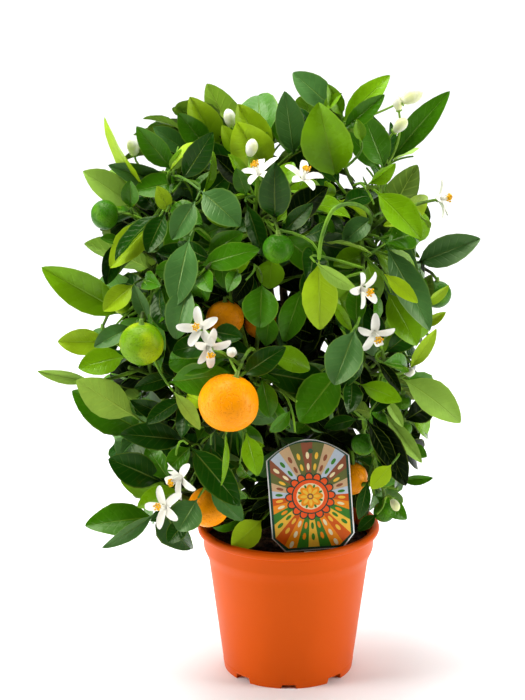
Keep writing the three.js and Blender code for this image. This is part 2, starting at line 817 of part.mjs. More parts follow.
function spikeShape(extra) {
  const half = SPIKE.width / 2 + extra;
  const top = 2 - LABEL.corner;
  return new THREE.Shape([
    new THREE.Vector2(-half, top),
    new THREE.Vector2(-half * 0.55, -SPIKE.deep - extra),
    new THREE.Vector2(half * 0.55, -SPIKE.deep - extra),
    new THREE.Vector2(half, top),
  ]);
}

// Where the label stands: upright, facing the front, and tilted a little.
const LABEL_PLACE = new THREE.Matrix4()
  .makeRotationX(Math.PI / 2)
  .multiply(new THREE.Matrix4().makeRotationZ(THREE.MathUtils.degToRad(LABEL.tilt)))
  .setPosition(LABEL.x, LABEL.y, LABEL.foot);

// An outline as a thin slab, grown by extra on every side.
function slab(shape, extra, place) {
  const depth = LABEL.thick + 2 * extra;
  const geometry = new THREE.ExtrudeGeometry(shape, { depth, bevelEnabled: false, curveSegments: 5 });
  return solid(geometry.translate(0, 0, -depth / 2).applyMatrix4(place));
}

const spikeSolid = (extra, place) => slab(spikeShape(extra), extra, place);
const labelSolid = (extra, place) => slab(labelShape(extra), extra, place).add(spikeSolid(extra, place));

// ---- The scene graph ----

const LOOKS = {
  pot: { color: 0xe2621c, roughness: 0.42, metalness: 0 },
  soil: { color: 0x2c1f17, roughness: 0.95, metalness: 0 },
  label: { color: 0xf07a2a, roughness: 0.35, metalness: 0 },
  trunk: { color: 0x6b5a3c, roughness: 0.8, metalness: 0 },
  bough: { color: 0x4f6b2a, roughness: 0.6, metalness: 0 },
  foliage: { color: 0x2f6a1c, roughness: 0.4, metalness: 0 },
};

function node(name, made, look) {
  const mesh = new THREE.Mesh(geometryOf(made), new THREE.MeshStandardMaterial(LOOKS[look]));
  mesh.name = name;
  return mesh;
}

function buildPot() {
  const group = new THREE.Group();
  group.add(node("pot", potSolid(), "pot"), node("soil", soilSolid(), "soil"));
  return group;
}

function buildLabel() {
  const group = new THREE.Group();
  group.applyMatrix4(LABEL_PLACE);
  group.add(node("label", labelSolid(0, new THREE.Matrix4()), "label"));
  return group;
}

function buildWood() {
  const group = new THREE.Group();
  group.add(node("trunk", trunkSolid(), "trunk"));
  const grown = trunkSolid(GAP);
  for (const mass of masses) {
    group.add(node(`bough_${mass.name}`, largest(boughSolid(mass).subtract(grown)), "bough"));
  }
  return group;
}

function buildFoliage() {
  growTree();
  const group = new THREE.Group();
  const hard = [trunkSolid(2 * GAP), labelSolid(2 * GAP, LABEL_PLACE)];
  for (const mass of masses) hard.push(boughSolid(mass, GAP));
  for (const mass of masses) group.add(node(`foliage_${mass.name}`, massSolid(mass, hard), "foliage"));
  return group;
}

const tree = new THREE.Group();
tree.name = "calamondin_tree";
tree.add(buildPot(), buildLabel(), buildWood(), buildFoliage());

export default tree;
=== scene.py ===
"""A calamondin orange tree in its nursery pot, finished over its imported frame.

Growth is worked out in millimetres and meshes are made in metres, +Z up, with the tree's front towards -Y.
"""

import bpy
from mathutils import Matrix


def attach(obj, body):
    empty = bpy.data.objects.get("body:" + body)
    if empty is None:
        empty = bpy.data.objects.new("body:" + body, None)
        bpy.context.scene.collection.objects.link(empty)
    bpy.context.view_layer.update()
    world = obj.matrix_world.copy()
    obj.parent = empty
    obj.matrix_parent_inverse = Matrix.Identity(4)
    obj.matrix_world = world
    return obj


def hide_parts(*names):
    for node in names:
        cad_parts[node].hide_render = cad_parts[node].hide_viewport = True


bl_info = {
    "name": "Potted Calamondin",
    "version": (1, 0, 0),
    "blender": (4, 5, 0),
    "location": "View3D > Sidebar > Calamondin",
    "description": "Grows a potted calamondin tree with fruit and blossom, and finishes its pot and label",
    "category": "Add Mesh",
}

import functools
from itertools import product
from math import atan2, cos, pi, radians, sin, sqrt
from types import SimpleNamespace

import bpy
import numpy as np
from bpy.props import FloatProperty, FloatVectorProperty, IntProperty, PointerProperty
from mathutils import Matrix, Vector, noise
from mathutils.geometry import intersect_line_line_2d
from numpy.linalg import norm

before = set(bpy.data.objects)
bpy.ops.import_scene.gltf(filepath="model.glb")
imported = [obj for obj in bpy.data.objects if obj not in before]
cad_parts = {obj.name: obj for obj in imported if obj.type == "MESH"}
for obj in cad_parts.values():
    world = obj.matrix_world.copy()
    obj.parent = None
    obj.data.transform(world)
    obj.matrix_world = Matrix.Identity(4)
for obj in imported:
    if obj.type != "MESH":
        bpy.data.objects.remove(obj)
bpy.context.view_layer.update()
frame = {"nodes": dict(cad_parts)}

MM = 0.001
BODY = "root"
BAKE_MAP = "OFBake"

# ---- The front view: what is placed in it is in pixels of its frame ----

VIEW = SimpleNamespace(wide=525, high=700, focal=2410, eye=(-20, -1740, 762), pitch=radians(16.26))
SENSOR = 36  # mm, along the frame's longer side


def vec(x, y, z):
    return np.array((x, y, z), float)


EYE = vec(*VIEW.eye)
VIEW_RIGHT = vec(1, 0, 0)
VIEW_UP = vec(0, sin(VIEW.pitch), cos(VIEW.pitch))
VIEW_AHEAD = vec(0, cos(VIEW.pitch), -sin(VIEW.pitch))


def sighted(across, down, depth):
    """The place seen at a pixel of the front view, where its line of sight meets the plane y = depth."""
    way = VIEW_AHEAD + VIEW_RIGHT * (across - VIEW.wide / 2) / VIEW.focal
    way = way - VIEW_UP * (down - VIEW.high / 2) / VIEW.focal
    return EYE + way * (depth - EYE[1]) / way[1]


def in_view(points):
    """Where places appear in the front view, in pixels."""
    from_eye = points - EYE
    depth = from_eye @ VIEW_AHEAD
    across = VIEW.wide / 2 + VIEW.focal * (from_eye @ VIEW_RIGHT) / depth
    down = VIEW.high / 2 - VIEW.focal * (from_eye @ VIEW_UP) / depth
    return np.stack([across, down], axis=-1)


# ---- Sizes of the plant, in millimetres, as in its solids ----

GAP = 0.3
POT = SimpleNamespace(
    height=117, rim=70, lip=6, collar=66, collar_foot=98, body=61.4, foot=49.7, wall=1.6, floor=2.4,
    foot_width=5.6, disc=22, arch=4.6, small_arch=3.2,
)
SOIL = SimpleNamespace(top=105, edge_dip=3)
LABEL = SimpleNamespace(
    width=62, high=78, thick=0.9, foot=117, x=18.5, y=-44, corner=9, crown=11, tilt=radians(4.3),
    spike=16, deep=34,
)
TRUNK = SimpleNamespace(
    foot=105.3, under=6, tip=330, foot_radius=7.2, tip_radius=2.4, flare=4.4, flare_height=14,
)
TRUNK_BENDS = ((0, 4), (-5, 9), (-9, 3), (-3, -3), (-7, 2))
BOUGH = SimpleNamespace(root=3.4, tip=2.3, share=0.6, rise=0.16)
STEM = SimpleNamespace(tip=1.5, beyond=16)
TWIG = SimpleNamespace(
    root=1.7, tip=1.1, arch=0.14, leaf_gap=8.5, bare=0.2, first=0.15, rise=0.62, shift=0.18,
)
LEAF = SimpleNamespace(
    long=62, spread=0.22, slim=0.5, petiole=0.12, bend=0.7, cup=0.16, splay=1.05, end_splay=0.25, aside=0.6,
    up=0.45, unrest=1.1,
)
TWIG_APART, FINER_APART = 5, 3.5  # how far twigs of the first and of the finer growth keep apart
LEAF_APART, SHOOT_LEAF_APART = 5.8, 5.0
MASS_ROOM = 2.2  # how far a twig stays inside its mass's part of the crown
HIDES = 2  # growth that would hide so many places of the placed leaves is left out
# The fine twig of a placed leaf: where it starts, behind the leaf's root, and how many twigs it may start on.
JOIN = SimpleNamespace(back=12, inward=8, down=4, choices=60, knee=0.45, radii=(1.2, 0.8))
TRIES = 12
SHRINK = 0.04  # how much smaller a leaf is at each further try
# The first of the seeds for each kind of growth.
SEED = SimpleNamespace(
    ends=7, finer_ends=8, crumbs=41, front=55, leaders=100, blossom=300, bearing=700, fruit=900, twigs=1000,
    finer_twigs=2000,
)
CROWN = SimpleNamespace(
    middle=vec(-17, -2, 268), half=vec(126, 106, 176), round=2.4, boxy=4, waist=205, narrowing=0.24,
)
SHELLS = ((38, 0.72, 0.12), (18, 0.42, 0.12))  # how many twigs end in a shell, its reach and its spread
GOLDEN = pi * (3 - sqrt(5))
UP = vec(0, 0, 1)

# Finer growth: leaves are nearer to life size here than in the solids, and side shoots carry more of them.
LIFE = 0.9
FINER_SHELLS = ((38, 0.87, 0.06), (46, 0.58, 0.1))
SHOOT = SimpleNamespace(
    count=3, first=0.42, step=0.26, shortest=18, spread=16, reach=0.94, lean=0.9, tries=6, leaf_gap=0.85,
    leaf_long=0.76, onward=0.6, outward=0.5, radii=(1.1, 0.7),
)

# Each mass: its middle, and the height at which its bough leaves the trunk.
MASSES = {
    "front_low_left": (-88, -48, 156, 130),
    "front_low_right": (68, -46, 160, 137),
    "front_mid_left": (-106, -46, 248, 176),
    "front_middle": (-24, -64, 244, 184),
    "front_mid_right": (68, -46, 252, 193),
    "front_top_left": (-104, -30, 342, 243),
    "front_top_middle": (-24, -42, 358, 262),
    "front_top_right": (64, -34, 358, 272),
    "back_low_left": (-82, 52, 184, 146),
    "back_low_right": (54, 54, 190, 152),
    "back_mid_left": (-88, 50, 288, 208),
    "back_mid_right": (54, 52, 294, 214),
    "back_top_left": (-72, 46, 384, 258),
    "back_top_right": (34, 48, 390, 286),
}

MASS_NODES = sorted(f"foliage_{name}" for name in MASSES)
BOUGH_NODES = sorted(f"bough_{name}" for name in MASSES)

# Fruits: middle, radius and ripeness.
FRUITS = (
    (-44, -118, 250, 21.5, "ripe"),
    (-106, -92, 286, 16, "turning"),
    (-134, -40, 368, 10.8, "green"),
    (-9, -85, 354, 11, "green"),
    (-122, -60, 306, 6.5, "turning"),
    (-47, -64, 297, 13.7, "ripe"),
    (-21, -48, 289, 12.3, "ripe"),
    (-60, -74, 156, 15.4, "ripe"),
    (46, -27, 162, 13.4, "ripe"),
    (54, -60, 200, 8.8, "green"),
    (71, -43, 141, 8.2, "green"),
    (84, -36, 225, 6.3, "green"),
    (85, -36, 204, 6.3, "green"),
    (-70, 94, 272, 17, "ripe"),
    (10, 88, 384, 12, "green"),
    (62, 88, 232, 16, "turning"),
    (-22, 104, 304, 13, "ripe"),
    (30, 88, 164, 10, "green"),
    (-50, 84, 168, 14, "ripe"),
    (112, 22, 292, 11, "green"),
    (-142, 30, 252, 12, "green"),
)

# The way that a fruit's stalk leaves it, where that isn't upwards.
STALKS = {0: (0.3, 0.15, 1), 2: (1, 0.1, 0.1), 4: (0.1, 0.3, -1), 9: (0, 0.2, 1)}
STALK_RISE = 2  # how high a stalk comes from, in radii of its fruit

# Open flowers: middle, and the way that they look where that isn't straight out.
FLOWERS = (
    (-64, -116, 304, (-0.25, -1, 0.1)),
    (-57, -114, 289, (0.3, -1, -0.25)),
    (-81, -92, 185, (-0.75, -0.8, -0.1)),
    (-92, -96, 164, (-0.4, -0.8, 0.3)),
    (9, -66, 402, (0.3, -0.5, 0.9)),
    (111, -20, 375, (1, -0.25, 0.1)),
    (52, -92, 326, (0.8, -0.6, -0.1)),
    (60, -87, 291, (0.1, -1, -0.5)),
    (-23, -62, 405, (-0.3, -0.4, 1)),
    (22, 98, 334, None),
    (-60, 90, 362, None),
    (72, 74, 300, None),
    (-92, 86, 222, None),
    (8, 104, 224, None),
)
FLOWER = SimpleNamespace(radius=14, room=13)

# Flower buds: middle, length and the way that each points.
BUDS = (
    (-114, -15, 413, 13, (-0.1, -0.2, 1)),
    (-44, -5, 432, 12, (-0.2, -0.1, 1)),
    (78, -10, 444, 10, (-0.2, 0, 1)),
    (88, -10, 449, 15, (0.9, -0.1, 0.5)),
    (80, -12, 428, 12, (0.6, -0.2, 0.7)),
    (-42, -100, 282, 10, (0.2, -0.8, 0.3)),
    (88, -50, 252, 9, (0.3, -0.6, 0.4)),
    (-28, -40, 417, 12, (0.2, -0.2, 1)),
    (14, -30, 424, 12, (0.3, -0.1, 1)),
    (78, -58, 152, 9, (0.4, -0.6, -0.6)),
    (-30, 70, 420, 12, (0, 0.3, 1)),
    (60, 66, 404, 11, (0.3, 0.3, 0.9)),
    (-96, 62, 330, 11, (-0.4, 0.7, 0.4)),
)

# Leaders: leaves that stand out of the crown on long shoots. Each has the place of its tip, the way that it
# points across the tree's front in degrees, its length, slimness and tint, and a turn about its length.
# The tints are matched to how lit or shaded each leaf looks, so they hold painted light and shade besides the
# leaves' own colours.
LEADERS = (
    (-179, -60, 334, 147, 74, 0.37, "fresh"),
    (-170, -45, 274, 178, 38, 0.52, "lime", 20),
    (-183, -70, 259, 166, 42, 0.24, "pale", 20),
    (-160, -50, 238, 146, 66, 0.46, "green"),
    (-133, -70, 192, 152, 46, 0.56, "dark"),
    (-151, -70, 140, 184, 54, 0.48, "green"),
    (-138, -82, 127, 212, 48, 0.26, "dusty", 30),
    (-125, -60, 172, 160, 44, 0.4, "fresh", 20),
    (-134, -25, 437, 117, 80, 0.24, "lime", 50),
    (-150, -30, 398, 142, 46, 0.5, "pale"),
    (-111, -25, 430, 127, 44, 0.42, "green"),
    (-73, -5, 448, 117, 48, 0.5, "lime"),
    (-38, -12, 444, 116, 50, 0.5, "lime"),
    (-4, -10, 453, 98, 52, 0.42, "dusty"),
    (2, 5, 464, 139, 42, 0.52, "dusty"),
    (20, -38, 450, 103, 62, 0.6, "fresh"),
    (73, 0, 463, 46, 52, 0.36, "fresh", 15),
    (68, -24, 453, 42, 42, 0.34, "green", 20),
    (116, -10, 453, 52, 72, 0.27, "green", 10),
    (141, -10, 343, 24, 54, 0.42, "dusty"),
    (118, -15, 309, 42, 27, 0.36, "lime", 20),
    (109, -20, 277, 60, 40, 0.3, "lime", 30),
    (127, -40, 210, -36, 56, 0.5, "pale", 10),
    (108, -32, 164, 6, 26, 0.32, "green", 30),
    (88, -46, 136, -36, 30, 0.5, "green"),
    (-156, 44, 326, 160, 60, 0.46, "green"),
    (98, 60, 384, 62, 60, 0.42, "dark"),
    (-62, 62, 446, 115, 58, 0.46, "fresh"),
    (36, 72, 440, 70, 60, 0.44, "dark"),
    (-142, 54, 184, 200, 58, 0.46, "green"),
    (108, 62, 196, -20, 58, 0.46, "dark"),
)

# Leaves of the front, by their place in the front view: tip and root in pixels, depth of the tip, how much
# deeper the root lies, slimness, tint, and a turn about the leaf's length in degrees.
# The tints are matched to how lit or shaded each leaf looks, so they hold painted light and shade besides the
# leaves' own colours.
FRONT_LEAVES = (
    # upper left
    (153, 127, 190, 155, -5, 8, 0.45, "dusty"),
    (178, 113, 211, 152, -14, 8, 0.5, "green"),
    (213, 132, 181, 182, -46, 8, 0.42, "dark", 10),
    (200, 142, 170, 170, -38, 6, 0.36, "lime", 40),
    (181, 149, 171, 172, -34, 6, 0.5, "pale", 20),
    (213, 151, 203, 196, -54, 6, 0.26, "fresh", 45),
    (108, 165, 181, 188, -22, 10, 0.3, "dusty", 20),
    (130, 180, 131, 208, -44, 4, 0.62, "green"),
    (133, 192, 184, 182, -28, 8, 0.5, "green"),
    (157, 186, 169, 213, -56, 4, 0.55, "lime", 15),
    (100, 238, 121, 241, -52, 6, 0.5, "green"),
    (115, 261, 162, 212, -62, 12, 0.34, "dark", 30),
    (110, 268, 158, 218, -54, 12, 0.46, "lime"),
    (147, 253, 166, 212, -70, 12, 0.52, "dark"),
    (172, 240, 196, 200, -74, 12, 0.56, "dusty"),
    (240, 226, 200, 190, -80, 14, 0.66, "dusty"),
    (263, 257, 246, 202, -70, 10, 0.36, "dark", 10),
    (243, 232, 206, 255, -72, 6, 0.55, "green"),
    (260, 249, 199, 266, -86, 8, 0.42, "green"),
    (175, 306, 190, 236, -90, 12, 0.48, "dusty"),
    (106, 285, 117, 240, -42, 10, 0.44, "dark"),
    (103, 311, 134, 284, -68, 10, 0.56, "lime"),
    (134, 285, 149, 322, -66, 4, 0.38, "dusty", 20),
    # upper middle
    (237, 122, 266, 172, -30, 8, 0.72, "lime"),
    (222, 125, 238, 156, -24, 6, 0.46, "lime"),
    (228, 154, 250, 187, -56, 6, 0.36, "fresh", 20),
    (236, 168, 247, 197, -62, 6, 0.5, "green"),
    (214, 155, 246, 186, -42, 8, 0.46, "deep"),
    (328, 84, 343, 117, -6, 6, 0.42, "fresh"),
    (342, 93, 322, 110, -8, 6, 0.4, "fresh"),
    (363, 114, 385, 170, -16, 8, 0.48, "green"),
    (346, 131, 381, 171, -10, 8, 0.34, "green"),
    (357, 119, 362, 142, -32, 4, 0.5, "fresh"),
    (275, 162, 275, 222, -84, 12, 0.5, "dark"),
    (328, 187, 284, 222, -70, 8, 0.5, "deep"),
    (313, 203, 284, 231, -80, 8, 0.42, "dark"),
    (269, 289, 273, 256, -70, 4, 0.86, "fresh"),
    # upper right
    (421, 239, 374, 190, -64, 12, 0.5, "fresh"),
    (383, 226, 402, 222, -44, 6, 0.42, "lime"),
    (343, 243, 373, 217, -58, 8, 0.6, "dusty"),
    (334, 233, 318, 214, -54, 6, 0.52, "green"),
    (372, 254, 325, 242, -68, 6, 0.26, "pale", 55),
    (333, 266, 373, 252, -60, 8, 0.56, "fresh"),
    (320, 330, 319, 258, -94, 4, 0.5, "lime"),
    (358, 290, 315, 262, -98, 6, 0.34, "pale", 45),
    (430, 331, 384, 243, -66, 18, 0.34, "dusty"),
    (418, 303, 383, 273, -74, 8, 0.34, "lime"),
    (417, 346, 386, 290, -62, 12, 0.52, "fresh"),
    (446, 312, 422, 327, -24, 4, 0.36, "lime", 10),
    # middle
    (260, 328, 262, 282, -88, 6, 0.8, "green"),
    (266, 346, 270, 312, -82, 4, 0.68, "green"),
    (284, 342, 303, 286, -76, 8, 0.46, "green"),
    (286, 347, 241, 376, -98, 8, 0.44, "dark"),
    (243, 337, 211, 331, -92, 6, 0.62, "dark"),
    (200, 430, 173, 391, -100, 8, 0.34, "pale", 10),
    (270, 418, 262, 378, -86, 6, 0.54, "green"),
    (280, 383, 247, 373, -90, 6, 0.3, "green", 50),
    (300, 423, 341, 369, -90, 12, 0.64, "green"),
    (334, 385, 356, 327, -106, 10, 0.62, "dusty"),
    (352, 331, 332, 297, -92, 6, 0.3, "fresh", 30),
    (402, 401, 359, 384, -86, 8, 0.46, "fresh"),
    (324, 428, 358, 419, -78, 6, 0.46, "dark"),
    (297, 434, 318, 412, -68, 6, 0.6, "green"),
    (401, 392, 377, 360, -78, 6, 0.3, "deep"),
    # right
    (422, 463, 384, 412, -62, 10, 0.26, "pale", 10),
    (403, 427, 384, 397, -68, 6, 0.32, "pale"),
    (406, 486, 370, 411, -72, 10, 0.34, "deep"),
    (396, 472, 366, 418, -76, 8, 0.3, "deep"),
    (427, 457, 406, 446, -44, 6, 0.6, "green"),
    (371, 489, 392, 464, -88, 6, 0.6, "lime"),
    (358, 531, 377, 514, -60, 4, 0.52, "dark"),
    (359, 520, 368, 480, -68, 6, 0.34, "dark"),
    # lower left
    (78, 368, 127, 356, -64, 8, 0.58, "fresh"),
    (94, 347, 134, 326, -72, 8, 0.46, "dusty"),
    (76, 380, 137, 418, -76, 10, 0.5, "pale", 180),
    (120, 434, 188, 441, -72, 10, 0.42, "dark"),
    (130, 400, 176, 420, -62, 10, 0.36, "dark"),
    (134, 388, 176, 376, -56, 8, 0.4, "dark"),
    (146, 424, 186, 398, -70, 6, 0.4, "dark", 20),
    (166, 471, 192, 446, -86, 8, 0.58, "green"),
    (240, 506, 188, 444, -102, 12, 0.4, "dark"),
    (217, 486, 211, 445, -94, 8, 0.54, "dark"),
    (221, 486, 226, 434, -104, 8, 0.17, "fresh", 30),
    (258, 476, 246, 432, -96, 8, 0.48, "fresh"),
    (137, 507, 182, 490, -78, 8, 0.52, "fresh"),
    (178, 531, 198, 498, -100, 6, 0.88, "dusty"),
    (168, 543, 187, 520, -86, 6, 0.7, "dark"),
    (243, 521, 208, 489, -90, 8, 0.5, "dusty"),
    (232, 549, 263, 519, -50, 12, 0.64, "lime"),
    (251, 498, 270, 487, -44, 8, 0.6, "deep"),
    (251, 512, 270, 502, -42, 8, 0.6, "deep"),
    (151, 521, 174, 508, -84, 4, 0.5, "dark"),
)

# A stout young shoot that arches over and down to a leaf: places in the front view and depths.
ARCHED_RADII = (1.6, 1.3)
ARCHED_SHOOT = ((371, 217, -58), (354, 204, -78), (334, 209, -90), (322, 236, -96), (319, 259, -93))

# Openings through which the background is seen: places in the front view and radii, in pixels.
SKY = (
    (352, 158, 13), (364, 146, 9), (283, 293, 6), (327, 346, 4), (302, 346, 4), (112, 318, 7), (131, 312, 4),
    (428, 250, 9), (438, 318, 9), (425, 352, 9), (172, 466, 3), (345, 182, 6), (268, 152, 3), (146, 164, 5),
)

# ---- Chance and lines ----

WORD = 0xFFFFFFFF


def seeded(seed):
    """Repeatable numbers from 0 to 1, so that the tree is the same each time."""
    state = seed & WORD

    def chance():
        nonlocal state
        state = (state + 0x6D2B79F5) & WORD
        t = ((state ^ (state >> 15)) * (state | 1)) & WORD
        t ^= (t + (t ^ (t >> 7)) * (t | 61)) & WORD
        return ((t ^ (t >> 14)) & WORD) / 4294967296

    return chance


def jitter(chance, size):
    return (vec(chance(), chance(), chance()) - 0.5) * size


def unit(v):
    return v / norm(v)


def squared(v, axis):
    """The part of a vector that is square to a unit vector, as a unit vector."""
    return unit(v - axis * (v @ axis))


def mix(a, b, t):
    return a + (b - a) * t


class Bow:
    """A limb's line, which leaves its root towards a knee and comes to its tip from there."""

    def __init__(self, root, knee, tip):
        self.root, self.knee, self.tip = root, knee, tip

    def at(self, share):
        t = np.asarray(share, float)[..., None]
        return (1 - t) ** 2 * self.root + 2 * t * (1 - t) * self.knee + t ** 2 * self.tip

    def heading(self, share):
        return unit((1 - share) * (self.knee - self.root) + share * (self.tip - self.knee))

    def along(self, count, low=0, high=1):
        """Places spread evenly over a span of the line."""
        return self.at(np.linspace(low, high, count))

    def length(self):
        return float(norm(np.diff(self.along(60), axis=0), axis=1).sum())


def smooth_line(stops, share):
    """A place on the line that runs smoothly through its stops, at a share of the way along them."""
    last = len(stops) - 1
    i = min(int(share * last), last - 1)
    t = share * last - i
    before = stops[i - 1] if i else 2 * stops[0] - stops[1]
    after = stops[i + 2] if i + 2 <= last else 2 * stops[last] - stops[last - 1]
    p0, p1, p2, p3 = before, stops[i], stops[i + 1], after
    d0, d1, d2 = (sqrt(norm(b - a)) for a, b in ((p0, p1), (p1, p2), (p2, p3)))
    slope = ((p1 - p0) / d0 - (p2 - p0) / (d0 + d1) + (p2 - p1) / d1) * d1
    leaving = ((p2 - p1) / d1 - (p3 - p1) / (d1 + d2) + (p3 - p2) / d2) * d1
    bend = -3 * p1 + 3 * p2 - 2 * slope - leaving
    return p1 + slope * t + bend * t ** 2 + (2 * p1 - 2 * p2 + slope + leaving) * t ** 3


def smooth_places(stops, shares):
    return np.array([smooth_line(stops, share) for share in shares])


def nearest(places, point):
    """The index of the place that lies nearest to a point."""
    return int(((places - point) ** 2).sum(1).argmin())


def held(value, low, high):
    return max(low, min(high, value))


def halved(low, high, steps, short):
    """Where a test stops to hold between low and high, found by halving the span step by step."""
    for _ in range(steps):
        middle = (low + high) / 2
        if short(middle):
            low = middle
        else:
            high = middle
    return low


# ---- The crown's space ----

MIDDLES = np.array([place[:3] for place in MASSES.values()], float)


def depth_inside(points, own):
    """How far points lie inside a mass's own part of the crown."""
    away = ((points[:, None] - MIDDLES) ** 2).sum(2)
    apart = norm(MIDDLES - MIDDLES[own], axis=1)
    others = [i for i in range(len(MIDDLES)) if i != own]
    return ((away[:, others] - away[:, [own]]) / (2 * apart[others])).min(1)


def crown_level(point):
    """How far out a point lies in the crown: 0 at its middle and 1 on its outline, which narrows low down."""
    low = max(0.0, (CROWN.waist - point[2]) / 100)
    narrow = 1 - CROWN.narrowing * low ** 1.5
    x, y, z = np.abs(point - CROWN.middle) / CROWN.half
    level = (x / narrow) ** CROWN.round + (y / narrow) ** CROWN.round
    return level ** (CROWN.boxy / CROWN.round) + z ** CROWN.boxy


def crown_edge(direction):
    """The point of the crown's outline that lies in a direction from its middle."""
    def inside(reach):
        return crown_level(CROWN.middle + direction * reach) < 1

    return CROWN.middle + direction * halved(0.0, 2 * CROWN.half[2], 10, inside)


SIDEWAYS = 0.004  # how much what faces forwards also looks aside, for each millimetre that it stands aside
TURNING = 36  # how far from the crown's middle leaves look fully forwards or backwards


def facing(place):
    """The level direction in which leaves look: forwards in the tree's front half, backwards behind."""
    away = place - CROWN.middle
    ahead = held(away[1] / TURNING, -1, 1)
    return unit(vec(away[0] * SIDEWAYS, -0.1 if abs(ahead) < 0.1 else ahead, 0))


def crown_share(place):
    """A place as shares of the crown's reach to each side of its middle."""
    return (place - CROWN.middle) / CROWN.half


def outward(place):
    """The way out of the crown at a place."""
    away = crown_share(place)
    return away / max(0.15, norm(away))


def fan(place):
    """The way out along the crown's front or back, that leaves lean to."""
    away = crown_share(place)
    return vec(away[0], 0, away[2] - 0.22) * 0.8


# Foliage stays over the pot's lip by so much, with a slope down beyond it to a lowest height, and out of the
# space before the label.
CLEAR = SimpleNamespace(
    over=2.5, slope_from=3, slope=0.8, beyond=28, lowest=84, beside=37, before=5, under=203,
)


def clear_of_pot(points):
    """Whether points are clear of the pot, of the soil and of the space in front of the label."""
    x, y, z = points.T
    radius = np.hypot(x, y)
    floor = POT.height + CLEAR.over - np.maximum(0, radius - POT.rim - CLEAR.slope_from) * CLEAR.slope
    over_pot = ((radius >= POT.rim + CLEAR.beyond) | (z >= floor)) & (z >= CLEAR.lowest)
    before_label = (np.abs(x - LABEL.x) < CLEAR.beside) & (y < LABEL.y + CLEAR.before) & (z < CLEAR.under)
    return (over_pot & ~before_label).all()


def make_ball(middle, radius, way, kind, index):
    """Something round that foliage keeps out of, and out of the open way through which it is seen."""
    sight = vec(0, -0.96 if middle[1] < 0 else 0.96, 0.28)
    stalk = unit(vec(*STALKS.get(index, (0, 0, 1)))) if kind == "fruit" else None
    return SimpleNamespace(
        middle=vec(*middle), radius=radius, way=way, sight=sight, stalk=stalk, kind=kind, index=index,
    )


BALLS = [make_ball(row[:3], row[3], row[3] * 0.85, "fruit", i) for i, row in enumerate(FRUITS)]
BALLS += [make_ball(row[:3], FLOWER.room, FLOWER.room, "flower", i) for i, row in enumerate(FLOWERS)]
BALL_MIDDLES = np.array([ball.middle for ball in BALLS])
BALL_ROOMS = np.array([ball.radius + 1.2 for ball in BALLS])
BALL_WAYS = np.array([ball.way for ball in BALLS])
BALL_SIGHTS = np.array([ball.sight for ball in BALLS])


def clear_of_balls(points):
    away = points[:, None] - BALL_MIDDLES
    distance = (away ** 2).sum(2)
    ahead = (away * BALL_SIGHTS).sum(2)
    outside = distance >= BALL_ROOMS ** 2
    beside = (ahead < 0) | (distance - ahead ** 2 > BALL_WAYS ** 2)
    return (outside & beside).all()


SKY_PLACES = np.array([place[:2] for place in SKY], float)
SKY_REACH = np.array([place[2] for place in SKY], float)


def clear_of_sky(points):
    """Whether points leave the openings free through which the background is seen."""
    return (norm(in_view(points)[:, None] - SKY_PLACES, axis=2) > SKY_REACH).all()


class Taken:
    """Places on the blades and twigs so far, kept in cells so that near ones are soon found."""

    CELL = 7

    def __init__(self):
        self.cells = {}

    def spots(self, points):
        """Each point with the cell that it lies in."""
        return zip(points.tolist(), (points // self.CELL).astype(int).tolist())

    def add(self, points, twig=None):
        for place, cell in self.spots(points):
            self.cells.setdefault(tuple(cell), []).append((*place, twig))

    def near(self, points, apart, own=None):
        for (x, y, z), (i, j, k) in self.spots(points):
            for a, b, c in product((-1, 0, 1), repeat=3):
                for px, py, pz, twig in self.cells.get((i + a, j + b, k + c), ()):
                    other = own is None or twig is not own
                    if other and (px - x) ** 2 + (py - y) ** 2 + (pz - z) ** 2 < apart * apart:
                        return True
        return False


class Cover:
    """The places of the front view that placed leaves fill, so that later growth stays behind them."""

    STEP = 5

    def __init__(self):
        self.cells = {}

    def marks(self, points):
        spots = (in_view(points) // self.STEP).astype(int).tolist()
        return zip(map(tuple, spots), ((points - EYE) @ VIEW_AHEAD).tolist())

    def add(self, points):
        for spot, away in self.marks(points):
            self.cells[spot] = min(away, self.cells.get(spot, away))

    def hidden_by(self, points):
        """How many of these points hide something placed."""
        return sum(away < self.cells.get(spot, 0) for spot, away in self.marks(points))


# ---- Trunk, boughs and stems ----

TRUNK_START = TRUNK.foot - TRUNK.under
TRUNK_STOPS = [
    vec(x, y, mix(TRUNK_START, TRUNK.tip, i / (len(TRUNK_BENDS) - 1))) for i, (x, y) in enumerate(TRUNK_BENDS)
]


def trunk_radius(share, angle):
    """The trunk's radius, with three buttresses that fade out above its foot."""
    height = share * (TRUNK.tip - TRUNK_START) - TRUNK.under
    flare = np.maximum(0, 1 - height / TRUNK.flare_height) ** 2
    buttress = 0.75 + 0.25 * np.cos(3 * angle)
    return mix(TRUNK.foot_radius, TRUNK.tip_radius, share ** 0.8) + TRUNK.flare * flare * buttress


def trunk_at(height):
    def lower(share):
        return smooth_line(TRUNK_STOPS, share)[2] < height

    return smooth_line(TRUNK_STOPS, halved(0.0, 1.0, 30, lower))


def bough_line(middle, fork):
    root = trunk_at(fork)
    reach = middle - root
    tip = root + reach * BOUGH.share
    return Bow(root, mix(root, tip, 0.5) - UP * norm(reach) * BOUGH.rise, tip)


def stem_line(middle, bough):
    """The stem runs on from the bough's tip through the mass's middle."""
    heading = bough.heading(1)
    root = bough.tip + heading * GAP
    tip = middle + unit(middle - root) * STEM.beyond
    return Bow(root, root + heading * norm(tip - root) * 0.4, tip)


def wood_places(masses):
    """Places along the trunk and boughs that foliage keeps off, with their radii."""
    shares = np.linspace(0, 1, 49)
    rows = [(*smooth_line(TRUNK_STOPS, share), trunk_radius(share, 0.0)) for share in shares]
    shares = np.linspace(0, 1, 13)
    for mass in masses:
        rows += [(*mass.bough.at(share), mix(BOUGH.root, BOUGH.tip, share)) for share in shares]
    return np.array(rows)
